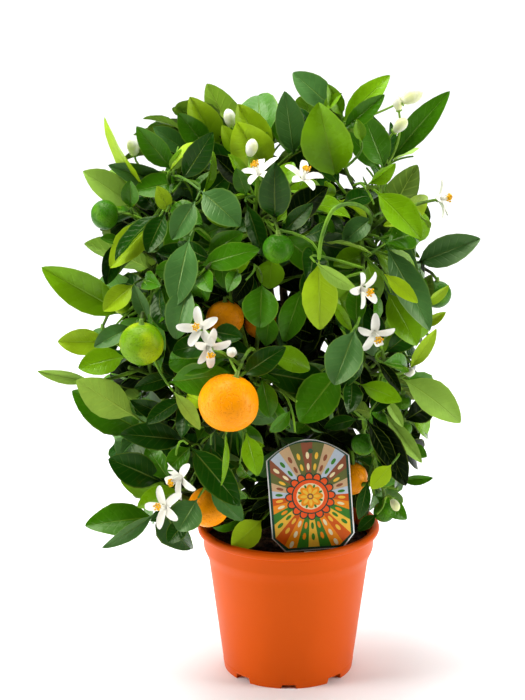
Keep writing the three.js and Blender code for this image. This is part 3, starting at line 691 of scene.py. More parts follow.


# ---- Leaves ----

# The darkest tints also serve as painted shade: deep and dark go to shaded leaves as well as to old ones.
PALER = ("deep", "dark", "green", "fresh", "lime", "pale")  # from the oldest leaves to the youngest
# The last tint is a grey-green that stands in for the sheen that glossy leaves reflect: painted sheen.
TINTS = (*PALER, "dusty")
# How young a spray is and how much painted shade it takes, in steps of tint: the least, what outside, height
# and chance add to it, and the step of painted shade that the crown's depth takes away, which ends at a share
# of its reach. A few sprays take the grey-green tint of painted sheen.
YOUTH_AND_SHADE = SimpleNamespace(least=0.95, outside=2.0, above=0.6, chance=2.4, within=1.6, shade=0.72, dusty=0.07)


def blade_outline(share):
    """Half of a blade's width at a share of its length, as a share of its full half-width."""
    t = np.clip((np.asarray(share, float) - LEAF.petiole) / (1 - LEAF.petiole), 0, 1)
    return np.sin(pi * t ** 0.88) ** 0.76


def on_leaf(leaf, share, side, lift=0.0):
    """Places on a leaf: share runs from root to tip, and side from -1 to 1 across.

    The blade bends down from its root, its sides rise and curl over at the margins, and it turns and sways a
    little along its length.
    """
    share, side = np.broadcast_arrays(np.asarray(share, float), np.asarray(side, float))
    turn = (leaf.bend * share)[..., None]
    wide = 0.5 * leaf.wide * side
    spine = leaf.heading * np.sin(turn) - leaf.face * (1 - np.cos(turn))
    normal = leaf.face * np.cos(turn) + leaf.heading * np.sin(turn)
    twist = (leaf.twist * share)[..., None]
    across = leaf.across * np.cos(twist) + normal * np.sin(twist)
    normal = normal * np.cos(twist) - leaf.across * np.sin(twist)
    rise = LEAF.cup * np.abs(wide) * leaf.fold - leaf.curl * leaf.wide * side ** 2
    waves = np.sin(leaf.waves * share + leaf.phase + 1.3 * np.sign(side))
    ripple = leaf.ripple * leaf.wide * np.abs(side) * waves
    sway = leaf.sway * leaf.long * share ** 2
    return (
        leaf.root
        + spine * leaf.long / leaf.bend
        + normal * (rise + ripple + lift)[..., None]
        + across * (wide + sway)[..., None]
    )


BLADE_PLACES = np.array(
    ((0.32, 0), (0.5, -0.85), (0.5, 0), (0.5, 0.85), (0.74, -0.7), (0.74, 0), (0.74, 0.7), (0.96, 0))
)
CHECK_SHARES = np.repeat((0.2, 0.35, 0.5, 0.65, 0.8, 0.92), 5)
CHECK_SIDES = np.tile((-1.05, -0.5, 0, 0.5, 1.05), 6) * np.maximum(blade_outline(CHECK_SHARES), 0.2)
CHECK_SHARES, CHECK_SIDES = np.append(CHECK_SHARES, 1.0), np.append(CHECK_SIDES, 0.0)
COVER_SHARES = np.repeat(np.linspace(0.14, 0.97, 16), 9)
COVER_SIDES = np.tile(np.linspace(-0.9, 0.9, 9), 16) * blade_outline(COVER_SHARES)


def blade_places(leaf):
    return on_leaf(leaf, BLADE_PLACES[:, 0], BLADE_PLACES[:, 1])


def make_leaf(root, heading, face, long, wide, chance, tint="green"):
    ahead = unit(heading)
    up = squared(face, ahead)
    detail = seeded(int(abs(root @ vec(7919, 1543, 3571)) * 10))
    return SimpleNamespace(
        root=root, heading=ahead, face=up, across=np.cross(ahead, up), long=long, wide=wide, tint=tint,
        bend=LEAF.bend * (0.5 + chance()), fold=1.3 + 2.4 * chance(), twist=0.7 * (detail() - 0.5),
        sway=0.1 * (detail() - 0.5), curl=0.02 + 0.05 * detail(), ripple=0.018 + 0.034 * detail(),
        waves=9 + 8 * detail(), phase=6 * detail(),
    )


def drawn_leaf(root, tip, slim, turn, tint, chance, bend=0.45):
    """A leaf from root to tip that looks forwards or backwards and up, turned about its length in degrees."""
    chord = tip - root
    reach = norm(chord)
    ahead = chord / reach
    looks = vec(0.25 * (tip[0] - root[0]) / reach, -1 if mix(root, tip, 0.5)[1] < 10 else 1, 0.5)
    face = squared(looks + jitter(chance, 0.35), ahead)
    angle = radians(turn) * (1 if chance() < 0.5 else -1)
    face = face * cos(angle) + np.cross(ahead, face) * sin(angle)
    bow = bend * (-1 if turn > 90 else 1) / 2
    heading = ahead * cos(bow) + face * sin(bow)
    up = face * cos(bow) - ahead * sin(bow)
    long = reach * bow / sin(bow)
    leaf = make_leaf(root, heading, up, long, long * slim, chance, tint)
    leaf.bend = 2 * bow
    leaf.sway = 0
    return leaf


# ---- Growth ----


class Tree:
    """The crown as it grows: masses with their boughs, stems, twigs and leaves."""

    def __init__(self):
        self.taken = Taken()
        self.cover = Cover()
        self.twigs = []
        self.masses = []
        for index, (*place, fork) in enumerate(MASSES.values()):
            bough = bough_line(vec(*place), fork)
            stem = stem_line(vec(*place), bough)
            self.masses.append(SimpleNamespace(index=index, bough=bough, stem=stem, twigs=[]))
        wood = wood_places(self.masses)
        self.wood_middles, self.wood_rooms = wood[:, :3], wood[:, 3] + 2.5
        self.grow()

    def grow(self):
        across, up = (grid.ravel() for grid in np.meshgrid(np.linspace(-1, 1, 25), np.linspace(0, 1, 30)))
        card = (LABEL.x + across * LABEL.width / 2, LABEL.y + 0 * up, LABEL.foot + up * (LABEL.high + 3))
        self.cover.add(np.stack(card, 1))
        for ball in BALLS:
            self.grow_bearing(ball)
        for i, leader in enumerate(LEADERS):
            self.grow_leader(leader, seeded(SEED.leaders + i))
        self.grow_twigs(SHELLS, SEED.ends, SEED.twigs, TWIG_APART)
        self.grow_front_leaves()
        self.grow_twigs(FINER_SHELLS, SEED.finer_ends, SEED.finer_twigs, FINER_APART)
        for twig in self.by_mass():
            self.grow_leaves(twig, TWIG.leaf_gap * LIFE, LEAF.long * LIFE, LEAF_APART, facing)
        for twig in self.by_mass():
            self.grow_shoots(twig)

    def by_mass(self):
        """The twigs so far, one mass after the other."""
        return [twig for mass in self.masses for twig in mass.twigs]

    def free(self, points, sky=True):
        """Whether points are clear of the pot, the wood, all that is round and the openings in the crown."""
        away = ((points[:, None] - self.wood_middles) ** 2).sum(2)
        clear = clear_of_pot(points) and clear_of_balls(points) and (away > self.wood_rooms ** 2).all()
        return clear and (not sky or clear_of_sky(points))

    def twig_root(self, mass, end):
        """A twig leaves its stem short of the place level with its end, and no two leave at one place."""
        start = mass.stem.root
        way = mass.stem.tip - start
        level = held((end - start) @ way / (way @ way), 0, 1)
        turn = len(mass.twigs) * GOLDEN / (2 * pi)
        return mass.stem.at(TWIG.first + TWIG.rise * level + TWIG.shift * (turn % 1))

    def add_twig(self, mass, curve, bearing, chance, radii=(TWIG.root, TWIG.tip)):
        twig = SimpleNamespace(
            mass=mass, curve=curve, bearing=bearing, chance=chance, radii=radii, leaves=[], carries=False,
            length=curve.length(), tint=self.spray_tint(curve.tip),
        )
        mass.twigs.append(twig)
        self.twigs.append(twig)
        self.taken.add(curve.along(10, 0.1), twig)
        return twig

    def spray_tint(self, place):
        """A spray's tint, partly its age and partly painted shade: older and darker in the crown's depth and
        below, younger at its top and outside, and a step darker still deep inside as painted shade.
        """
        away = crown_share(place)
        outer = norm(away)
        dice = seeded(int(abs(place @ vec(31, 57, 13)) * 10))
        youth_and_shade = YOUTH_AND_SHADE.least + YOUTH_AND_SHADE.outside * (outer - 0.6) + YOUTH_AND_SHADE.above * away[2]
        youth_and_shade = youth_and_shade + YOUTH_AND_SHADE.chance * (dice() - 0.5) - (YOUTH_AND_SHADE.within if outer < YOUTH_AND_SHADE.shade else 0)
        return len(PALER) if dice() < YOUTH_AND_SHADE.dusty else held(round(youth_and_shade), 0, len(PALER) - 1)

    def grow_bearing(self, ball):
        """A twig that ends in a fruit or a flower."""
        mass = self.masses[nearest(MIDDLES, ball.middle)]
        if ball.kind == "fruit":
            end = ball.middle + ball.stalk * ball.radius * 1.02
            root = self.twig_root(mass, end)
            curve = Bow(root, end + ball.stalk * STALK_RISE * ball.radius + (root - end) * 0.2, end)
        else:
            end = ball.middle.copy()
            curve = twig_line(self.twig_root(mass, end), end)
        first = SEED.bearing + (0 if ball.kind == "fruit" else 100)
        ball.twig = self.add_twig(mass, curve, True, seeded(first + ball.index))

    def grow_leader(self, leader, chance):
        """A leader's last leaf reaches its tip, whatever else is there."""
        x, y, z, degrees, long, slim, tint, *turn = leader
        tip = vec(x, y, z)
        lean = radians(degrees)
        heading = unit(vec(cos(lean), 0.15 * np.sign(y), sin(lean)))
        end = tip - heading * long
        mass = self.masses[nearest(MIDDLES, mix(tip, end, 0.6))]
        root = self.twig_root(mass, end)
        reach = norm(end - root)
        knee = mix(twig_line(root, end).knee, end - heading * reach * 0.4, 0.6)
        twig = self.add_twig(mass, Bow(root, knee, end), True, chance)
        leaf = drawn_leaf(end, tip, slim, sum(turn), tint, chance)
        self.add_leaf(twig, leaf)
        self.cover.add(on_leaf(leaf, COVER_SHARES, COVER_SIDES))

    def grow_twigs(self, shells, seed, first, apart):
        """Ordinary twigs to their places in the crown's shells, where they fit."""
        for i, end in enumerate(twig_ends(shells, seeded(seed))):
            mass = self.masses[nearest(MIDDLES, end)]
            curve = twig_line(self.twig_root(mass, end), end)
            points = curve.along(10, 0.1)
            outer = points[4:]
            if (
                (depth_inside(points, mass.index) > MASS_ROOM).all()
                and clear_of_pot(points)
                and self.free(outer, sky=False)
                and self.cover.hidden_by(outer) < HIDES
                and not self.taken.near(outer, apart)
            ):
                self.add_twig(mass, curve, False, seeded(first + i))

    def grow_shoots(self, twig):
        """Side shoots leave a twig alternately and bear leaves of their own."""
        chance = twig.chance
        for k in range(SHOOT.count):
            share = SHOOT.first + SHOOT.step * k
            root, tangent = twig.curve.at(share), twig.curve.heading(share)
            for _ in range(SHOOT.tries):
                side = beside(tangent, k * GOLDEN + 6.3 * chance())
                way = unit(tangent * SHOOT.onward + side * SHOOT.lean + outward(root) * SHOOT.outward)
                end = root + way * (SHOOT.shortest + SHOOT.spread * chance())
                curve = Bow(root, root + (tangent + way) * 0.25 * norm(end - root), end)
                if crown_level(end) < SHOOT.reach and self.shoot_fits(curve, twig):
                    shoot = self.add_twig(twig.mass, curve, False, chance, SHOOT.radii)
                    gap, long = TWIG.leaf_gap * SHOOT.leaf_gap, LEAF.long * SHOOT.leaf_long
                    self.grow_leaves(shoot, gap, long, SHOOT_LEAF_APART, outward)
                    break

    def shoot_fits(self, curve, twig):
        points = curve.along(5, 0.3)
        hides = self.cover.hidden_by(points) or self.taken.near(points[2:], 3.0, twig)
        return self.free(points) and not hides

    def add_leaf(self, twig, leaf):
        twig.leaves.append(leaf)
        self.taken.add(blade_places(leaf))

    def leaf_fits(self, leaf, twig, apart):
        if crown_level(on_leaf(leaf, 1, 0)) > 1 or self.taken.near(blade_places(leaf), apart, twig):
            return False
        points = on_leaf(leaf, CHECK_SHARES, CHECK_SIDES)
        return self.free(points) and self.cover.hidden_by(points) < HIDES

    def grow_leaf(self, twig, share, turn, last, long, apart, looks):
        """A leaf at a share of its twig, turned anew and made smaller until it fits, or None."""
        chance = twig.chance
        place, tangent = twig.curve.at(share), twig.curve.heading(share)
        ahead = looks(place)
        size = long * (1 - LEAF.spread + 2 * LEAF.spread * chance())
        slim = LEAF.slim * (0.9 + 0.22 * chance())
        for attempt in range(TRIES):
            angle = turn + attempt * (chance() - 0.5)
            splay = LEAF.end_splay * chance() if last and not attempt else LEAF.splay * (0.7 + 0.6 * chance())
            spiral = tangent * cos(splay) + beside(tangent, angle) * sin(splay)
            heading = unit(spiral - ahead * LEAF.aside * (spiral @ ahead) + fan(place))
            face = squared(ahead + UP * LEAF.up + jitter(chance, LEAF.unrest), heading)
            shrunk = size * (1 - SHRINK * attempt)
            leaf = make_leaf(place, heading, face, shrunk, shrunk * slim, chance)
            if self.leaf_fits(leaf, twig, apart):
                leaf.tint = leaf_tint(twig, leaf)
                return leaf
        return None

    def grow_leaves(self, twig, gap, long, apart, looks):
        """Leaves up a twig in a spiral, from its end back, but none at an end that bears something."""
        first = twig.chance() * 2 * pi
        k = 1 if twig.bearing else 0
        while (share := 1 - (k * gap + 1) / twig.length) >= TWIG.bare:
            leaf = self.grow_leaf(twig, share, first + k * GOLDEN, k == 0, long, apart, looks)
            if leaf:
                self.add_leaf(twig, leaf)
            k += 1

    def grow_front_leaves(self):
        chance = seeded(SEED.front)
        places = np.concatenate([twig.curve.along(12, 0.25, 0.95) for twig in self.twigs])
        twigs = [twig for twig in self.twigs for _ in range(12)]
        self.grow_arched_shoot(places)
        for tip_x, tip_z, root_x, root_z, depth, deeper, slim, tint, *turn in FRONT_LEAVES:
            root = sighted(root_x, root_z, depth + deeper)
            leaf = drawn_leaf(root, sighted(tip_x, tip_z, depth), slim, sum(turn), tint, chance)
            self.join_leaf(leaf, places, twigs)
            self.cover.add(on_leaf(leaf, COVER_SHARES, COVER_SIDES))

    def join_leaf(self, leaf, places, twigs):
        """A fine twig carries a placed leaf from the nearest twig behind its root that it reaches freely."""
        inward = JOIN.inward if leaf.root[1] < 0 else -JOIN.inward
        behind = leaf.root - leaf.heading * JOIN.back + vec(0, inward, -JOIN.down)
        order = ((places - behind) ** 2).sum(1).argsort()
        for choice in (*order[:JOIN.choices], order[0]):
            start = places[choice]
            reach = norm(leaf.root - start)
            curve = Bow(start, leaf.root - leaf.heading * reach * JOIN.knee, leaf.root)
            if self.free(curve.along(7, 0.2, 0.95), sky=False):
                break
        twigs[choice].carries = True
        twig = self.add_twig(twigs[choice].mass, curve, True, seeded(int(reach * 1000)), JOIN.radii)
        self.add_leaf(twig, leaf)

    def grow_arched_shoot(self, places):
        stops = [sighted(x, z, depth) for x, z, depth in ARCHED_SHOOT]
        self.arched = [places[nearest(places, stops[0])], *stops]
        line = smooth_places(self.arched, np.linspace(0, 1, 60))
        self.taken.add(line[::3])
        for shift in (-3, 0, 3):
            self.cover.add(line[15:] + VIEW_RIGHT * shift)


def leaf_tint(twig, leaf):
    """A leaf takes its spray's tint, a step older or younger now and then."""
    if twig.tint == len(PALER):
        return "dusty"
    dice = leaf.phase / 6
    step = -1 if dice < 0.25 else 1 if dice > 0.85 else 0
    return PALER[held(twig.tint + step, 0, len(PALER) - 1)]


def beside(tangent, angle):
    """A way square to a twig, at an angle round it."""
    side = unit(np.cross(tangent, UP + vec(1e-4, 0, 0)))
    return side * cos(angle) + np.cross(side, tangent) * sin(angle)


def twig_line(root, end):
    """A twig bows upwards a little between its root on the stem and its end."""
    return Bow(root, mix(root, end, 0.5) + UP * norm(end - root) * TWIG.arch, end)


def twig_ends(shells, chance):
    """The ends of ordinary twigs, spread evenly over shells of the crown by the golden angle."""
    for ends, reach, spread in shells:
        for i in range(ends):
            z = 1 - 2 * (i + 0.5) / ends
            level = sqrt(1 - z * z)
            direction = vec(level * cos(i * GOLDEN), level * sin(i * GOLDEN), z)
            yield mix(CROWN.middle, crown_edge(direction), reach + spread * (2 * chance() - 1))


# ---- Meshes made of many small shapes ----


class Heap:
    """Many small shapes that become one mesh: points in millimetres, faces, map places and finishes."""

    def __init__(self):
        self.points, self.faces, self.places, self.finishes = [], [], [], []
        self.count = 0

    def add(self, points, faces, places=None, finish=0):
        """Adds a shape. places holds a map place for each corner of each face, where a finish follows one."""
        self.points.append(np.asarray(points, float))
        self.faces += [tuple(self.count + k for k in face) for face in faces]
        self.count += len(points)
        if places is not None:
            self.places += places
        self.finishes += list(finish) if hasattr(finish, "__len__") else [finish] * len(faces)

    def tube(self, line, radii, sides):
        self.add(*tube(line, radii, sides))

    def star(self, place, way, radius, high, turn=0.0):
        """Adds a star of sepals that looks a way."""
        points, faces = star_points(radius, high)
        self.add(turned_to(points, way, turn) + place, faces)

    def piece(self, name, *materials, crease=60):
        """Makes the mesh, with edges sharp that turn by more than the crease in degrees."""
        mesh = bpy.data.meshes.new(name)
        mesh.from_pydata((np.concatenate(self.points) * MM).tolist(), [], self.faces)
        for material in materials:
            mesh.materials.append(material)
        mesh.polygons.foreach_set("material_index", self.finishes)
        if self.places:
            bake = mesh.uv_layers.new(name=BAKE_MAP)
            bake.data.foreach_set("uv", np.array(self.places, np.float32).ravel())
        mesh.update()
        piece = linked(name, mesh)
        smooth(piece, crease)
        return piece


def turns(count):
    """Angles evenly round a circle."""
    return 2 * pi * np.arange(count) / count


def strips(rings, count):
    """Faces between rings of points, each of so many."""
    for a in range(0, (rings - 1) * count, count):
        for k in range(count):
            b = a + (k + 1) % count
            yield a + k, b, b + count, a + k + count


def tube(line, radii, sides):
    """A closed tube round a line of points, with a radius for each point or for each of its sides."""
    line = np.asarray(line, float)
    radii = np.broadcast_to(np.asarray(radii, float).reshape(len(line), -1), (len(line), sides))
    ways = np.gradient(line, axis=0)
    ways /= norm(ways, axis=1)[:, None]
    normal = squared(vec(1, 0, 0) if abs(ways[0][0]) < 0.8 else vec(0, 1, 0), ways[0])
    cosines, sines = np.cos(turns(sides)), np.sin(turns(sides))
    rings = []
    for place, way, size in zip(line, ways, radii):
        normal = squared(normal, way)
        spokes = np.outer(cosines, normal) + np.outer(sines, np.cross(way, normal))
        rings.append(place + spokes * size[:, None])
    last = (len(line) - 1) * sides
    ends = tuple(reversed(range(sides))), tuple(range(last, last + sides))
    return np.concatenate(rings), [ends[0], *strips(len(line), sides), ends[1]]


# A leaf's mesh: rows across the blade with five places on top and a keel below, and a point at both ends.
LEAF_ROWS = (0.09, 0.15, 0.22, 0.33, 0.46, 0.6, 0.73, 0.84, 0.92, 0.975)
TOP_SIDES = (-1, -0.5, 0, 0.5, 1)
UNDER_SIDES = (0.5, 0, -0.5)
ROW = len(TOP_SIDES) + len(UNDER_SIDES)
TOP_MIDDLE, UNDER_MIDDLE, HALF_MAP = 0.25, 0.75, 0.24


def leaf_template():
    """The shares, sides and faces of a leaf, with the map place of each face's corners and its finish."""
    rows = len(LEAF_ROWS)
    shares = np.array([0.0, *np.repeat(LEAF_ROWS, ROW), 1.0])
    sides = np.array([0.0, *(*TOP_SIDES, *UNDER_SIDES) * rows, 0.0])
    keels = np.array([0.0, *([0] * len(TOP_SIDES) + [1] * len(UNDER_SIDES)) * rows, 0.0])
    tip = len(shares) - 1
    around = [(a + 1, (a + 1) % ROW + 1) for a in range(ROW)]
    faces = [(a, b, 0) for a, b in around]
    faces += [tuple(corner + 1 for corner in face) for face in strips(rows, ROW)]
    faces += [(a + tip - 1 - ROW, b + tip - 1 - ROW, tip) for a, b in around]
    finishes = [int(k % ROW >= len(TOP_SIDES) - 1) for k in range(len(faces))]
    places = []
    for k, under in enumerate(finishes):
        if under and len(faces[k]) == 4:
            faces[k] = faces[k][1:] + faces[k][:1]
        middle = UNDER_MIDDLE if under else TOP_MIDDLE
        places += [(middle + HALF_MAP * sides[corner], shares[corner]) for corner in faces[k]]
    return SimpleNamespace(
        shares=shares, sides=sides, keels=keels, faces=faces, places=places, finishes=finishes,
    )


LEAF_MESH = leaf_template()
PETIOLE_HALF = 0.8  # half of a leaf stalk's width


def leaf_points(leaf):
    stalk = LEAF_MESH.shares < 0.16
    least = np.where(stalk, PETIOLE_HALF / (0.5 * leaf.wide), 0.02)
    outline = np.maximum(blade_outline(LEAF_MESH.shares), least)
    thick = np.where(stalk, 1.3, 0.35) * LEAF_MESH.keels
    groove = 0.25 * (LEAF_MESH.sides == 0) * (1 - LEAF_MESH.keels)
    return on_leaf(leaf, LEAF_MESH.shares, LEAF_MESH.sides * outline, -thick - groove)


# ---- Modelling as by hand ----


def linked(name, data):
    """A new object of the scene."""
    made = bpy.data.objects.new(name, data)
    bpy.context.scene.collection.objects.link(made)
    return made


def select_only(piece):
    bpy.ops.object.select_all(action="DESELECT")
    piece.select_set(True)
    bpy.context.view_layer.objects.active = piece


def primitive(kind, **settings):
    """Adds one of the mesh primitives with nothing else selected."""
    bpy.ops.object.select_all(action="DESELECT")
    getattr(bpy.ops.mesh, f"primitive_{kind}_add")(**settings)
    return bpy.context.object


def form_of(kind, **settings):
    """The points and faces of a primitive, to be repeated in a heap."""
    made = primitive(kind, **settings)
    points = np.array([vertex.co for vertex in made.data.vertices])
    faces = [tuple(face.vertices) for face in made.data.polygons]
    bpy.data.objects.remove(made)
    return points, faces


def edit(piece):
    """Opens a piece in edit mode with all of it selected."""
    select_only(piece)
    bpy.ops.object.mode_set(mode="EDIT")
    bpy.ops.mesh.select_all(action="SELECT")


def done(piece, name=None):
    """Leaves edit mode and puts the piece's place in its mesh."""
    if bpy.context.mode == "EDIT_MESH":
        bpy.ops.object.mode_set(mode="OBJECT")
    select_only(piece)
    bpy.ops.object.transform_apply(location=True, rotation=True, scale=True)
    if name:
        piece.name = piece.data.name = name
    return piece


def join(first, *others):
    select_only(first)
    for piece in others:
        piece.select_set(True)
    bpy.ops.object.join()


def smooth(piece, crease):
    """Shades a piece smooth but for edges that turn by more than the crease in degrees."""
    select_only(piece)
    bpy.ops.object.shade_smooth_by_angle(angle=radians(crease))


def apply_modifier(piece, kind, **settings):
    select_only(piece)
    modifier = piece.modifiers.new(kind.title(), kind)
    for key, value in settings.items():
        setattr(modifier, key, value)
    bpy.ops.object.modifier_apply(modifier=modifier.name)


def round_edges(piece, width):
    apply_modifier(piece, "BEVEL", width=width, segments=2, limit_method="ANGLE", angle_limit=radians(50))


def lathe(name, profile, sides):
    """A turned piece: a ring is extruded from point to point of a profile of radii and heights.

    A radius of 0 closes it at the axis.
    """
    (radius, height), *others = profile
    foot = {"radius": radius * MM, "location": (0, 0, height * MM)}
    piece = primitive("circle", vertices=sides, fill_type="NGON", **foot)
    edit(piece)
    bpy.ops.mesh.select_mode(type="EDGE")
    for next_radius, next_height in others:
        rise = (0, 0, (next_height - height) * MM)
        bpy.ops.mesh.extrude_edges_move(TRANSFORM_OT_translate={"value": rise})
        if next_radius == 0:
            bpy.ops.mesh.merge(type="CENTER")
            break
        share = next_radius / radius
        bpy.ops.transform.resize(value=(share, share, 1), center_override=(0, 0, next_height * MM))
        radius, height = next_radius, next_height
    bpy.ops.mesh.select_mode(type="VERT")
    bpy.ops.mesh.select_all(action="SELECT")
    bpy.ops.mesh.remove_doubles(threshold=1e-6)
    bpy.ops.mesh.normals_make_consistent(inside=False)
    return done(piece, name)


def round_corners(profile, radii, steps=4):
    """A profile with its inner corners rounded to these radii, as arcs of some steps."""
    points = [np.array(p, float) for p in profile]
    out = [profile[0]]
    for before, corner, after, radius in zip(points, points[1:], points[2:], radii):
        if not radius:
            out.append(tuple(corner))
            continue
        a, b = before - corner, after - corner
        reach = min(radius, 0.45 * norm(a), 0.45 * norm(b))
        start, end = corner + a / norm(a) * reach, corner + b / norm(b) * reach
        for t in np.linspace(0, 1, steps + 1):
            out.append(tuple((1 - t) ** 2 * start + 2 * t * (1 - t) * corner + t ** 2 * end))
    out.append(profile[-1])
    return out


# ---- Materials ----


class Nodes:
    """Adds nodes to a tree and joins them: a plain value sets a socket, and a socket is linked to it."""

    def __init__(self, tree):
        self.tree = tree
        self.column = 0

    def add(self, kind, inputs=(), **settings):
        node = self.tree.nodes.new("ShaderNode" + kind)
        node.location = (self.column * 190 - 900, -150 * (len(self.tree.nodes) % 5))
        self.column += 1
        for key, value in settings.items():
            setattr(node, key, value)
        for key, value in dict(inputs).items():
            self.put(node.inputs[key], value)
        return node

    def put(self, socket, value):
        if isinstance(value, bpy.types.NodeSocket):
            self.tree.links.new(value, socket)
        elif socket.type == "RGBA":
            socket.default_value = (*value, 1)
        else:
            socket.default_value = value

    def math(self, operation, a, b=0.0, clamp=False):
        return self.add("Math", {0: a, 1: b}, operation=operation, use_clamp=clamp).outputs[0]

    def times(self, a, b):
        return self.math("MULTIPLY", a, b)

    def plus(self, a, b, clamp=False):
        return self.math("ADD", a, b, clamp)

    def minus(self, a, b):
        return self.math("SUBTRACT", a, b)

    def ramp(self, value, low, high, to_low=0.0, to_high=1.0):
        """A value carried from one span to another and held at its ends, smoothly."""
        inputs = {"Value": value, "From Min": low, "From Max": high, "To Min": to_low, "To Max": to_high}
        return self.add("MapRange", inputs, interpolation_type="SMOOTHSTEP").outputs["Result"]

    def blend(self, share, a, b):
        """From one colour to another by a share."""
        return self.add("Mix", {0: share, 6: a, 7: b}, data_type="RGBA").outputs[2]

    def noise(self, place, scale, detail=2.0, roughness=0.5):
        inputs = {"Vector": place, "Scale": scale, "Detail": detail, "Roughness": roughness}
        return self.add("TexNoise", inputs).outputs["Fac"]

    def bump(self, height, distance, strength=1.0):
        inputs = {"Height": height, "Distance": distance, "Strength": strength}
        return self.add("Bump", inputs).outputs["Normal"]

    def place(self):
        return self.add("TexCoord").outputs["Object"]

    def map_place(self):
        return self.add("SeparateXYZ", {0: self.add("UVMap", uv_map=BAKE_MAP).outputs[0]}).outputs[:2]

    def group(self, name, **inputs):
        """The outputs of a node group that is given these inputs."""
        named = {key.replace("_", " "): value for key, value in inputs.items()}
        return self.add("Group", named, node_tree=bpy.data.node_groups[name]).outputs

    def mottle(self, scale):
        return self.group("Mottle", Place=self.place(), Scale=scale)["Patches"]


class Finish(Nodes):
    """A material's nodes, with a Principled shader. A plain value is set on the shader's own socket."""

    def __init__(self, name, **values):
        self.material = bpy.data.materials.new(name)
        self.material.use_nodes = True
        super().__init__(self.material.node_tree)
        self.shader = next(node for node in self.tree.nodes if node.type == "BSDF_PRINCIPLED")
        self.made(**values)

    def made(self, **values):
        """Feeds the shader's sockets and gives the material."""
        for key, value in values.items():
            self.put(self.shader.inputs[key.replace("_", " ")], value)
        return self.material


def new_group(name, inputs, outputs):
    """A new node group's nodes, inputs and output sockets. Inputs are given as name, kind and default."""
    tree = bpy.data.node_groups.new(name, "ShaderNodeTree")
    for socket, kind, default in inputs:
        made = tree.interface.new_socket(name=socket, in_out="INPUT", socket_type="NodeSocket" + kind)
        made.default_value = default
    for socket in outputs:
        tree.interface.new_socket(name=socket, in_out="OUTPUT", socket_type="NodeSocketFloat")
    nodes = Nodes(tree)
    return nodes, tree.nodes.new("NodeGroupInput").outputs, tree.nodes.new("NodeGroupOutput").inputs


def veins_group():
    """A leaf's midrib, side veins and margin, by its map place."""
    inputs = [("Map Middle", "Float", 0.25), ("Veins", "Float", 9.0)]
    nodes, given, result = new_group("Leaf Veins", inputs, ["Rib", "Vein", "Margin"])
    across, along = nodes.map_place()
    away = nodes.math("ABSOLUTE", nodes.math("DIVIDE", nodes.minus(across, given["Map Middle"]), HALF_MAP))
    width = nodes.ramp(along, 0.1, 1.0, 0.09, 0.02)
    lane = nodes.minus(along, nodes.times(nodes.math("POWER", away, 0.8), 0.17))
    wave = nodes.math("FRACT", nodes.times(lane, given["Veins"]))
    vein = nodes.ramp(nodes.math("ABSOLUTE", nodes.minus(wave, 0.5)), 0.0, 0.16, 1.0, 0.0)
    fade = nodes.ramp(away, 0.55, 0.98, 1.0, 0.0)
    nodes.put(result["Rib"], nodes.math("SUBTRACT", 1.0, nodes.math("DIVIDE", away, width), clamp=True))
    nodes.put(result["Vein"], nodes.times(vein, fade))
    nodes.put(result["Margin"], nodes.ramp(away, 0.88, 1.0))


def mottle_group():
    """Soft patches over a surface, broad and fine together."""
    inputs = [("Place", "Vector", (0, 0, 0)), ("Scale", "Float", 60.0)]
    nodes, given, result = new_group("Mottle", inputs, ["Patches"])
    broad = nodes.noise(given["Place"], given["Scale"], 3.0)
    fine = nodes.noise(given["Place"], nodes.times(given["Scale"], 9.0))
    both = nodes.plus(nodes.times(broad, 0.82), nodes.times(fine, 0.18))
    nodes.put(result["Patches"], nodes.ramp(both, 0.35, 0.65))


def linear(*steps):
    """A colour given in the display's steps from 0 to 255, as the shaders take it."""
    shares = (step / 255 for step in steps)
    return tuple(s / 12.92 if s <= 0.04045 else ((s + 0.055) / 1.055) ** 2.4 for s in shares)


def shade(colour, factor):
    return tuple(min(1.0, channel * factor) for channel in colour)


def toward(colour, other, share):
    return tuple(mix(np.array(colour), np.array(other), share))


def leaf_top(name, colour, rib, gloss, sheen):
    """A leaf's waxy upper side."""
    look = Finish(name, Specular_IOR_Level=sheen, Specular_Tint=(0.82, 1, 0.56))
    veins = look.group("Leaf Veins", Map_Middle=TOP_MIDDLE)
    patches = look.mottle(45.0)
    drift = look.ramp(look.noise(look.place(), 17.0, 1.0), 0.36, 0.64)
    base = look.blend(patches, shade(colour, 0.86), shade(colour, 1.12))
    base = look.blend(look.times(drift, 0.45), base, shade(colour, 0.6))
    for marks, strength in (("Vein", 0.06), ("Margin", 0.45), ("Rib", 0.55)):
        base = look.blend(look.times(veins[marks], strength), base, rib)
    relief = look.plus(look.times(veins["Rib"], -0.9), look.times(veins["Vein"], -0.22))
    relief = look.bump(look.plus(relief, look.times(patches, 0.2)), 0.0005, 0.7)
    wax = look.ramp(patches, 0.0, 1.0, gloss, gloss + 0.1)
    return look.made(Base_Color=base, Roughness=wax, Normal=relief)


def leaf_under(name, colour, rib):
    """A leaf's paler, duller underside, on which the ribs stand out."""
    look = Finish(name, Roughness=0.62, Specular_IOR_Level=0.1)
    veins = look.group("Leaf Veins", Map_Middle=UNDER_MIDDLE)
    base = look.blend(look.mottle(60.0), shade(colour, 0.9), shade(colour, 1.1))
    marks = look.plus(look.times(veins["Vein"], 0.3), veins["Rib"], clamp=True)
    base = look.blend(look.times(marks, 0.6), base, rib)
    return look.made(Base_Color=base, Normal=look.bump(marks, 0.0006, 0.8))


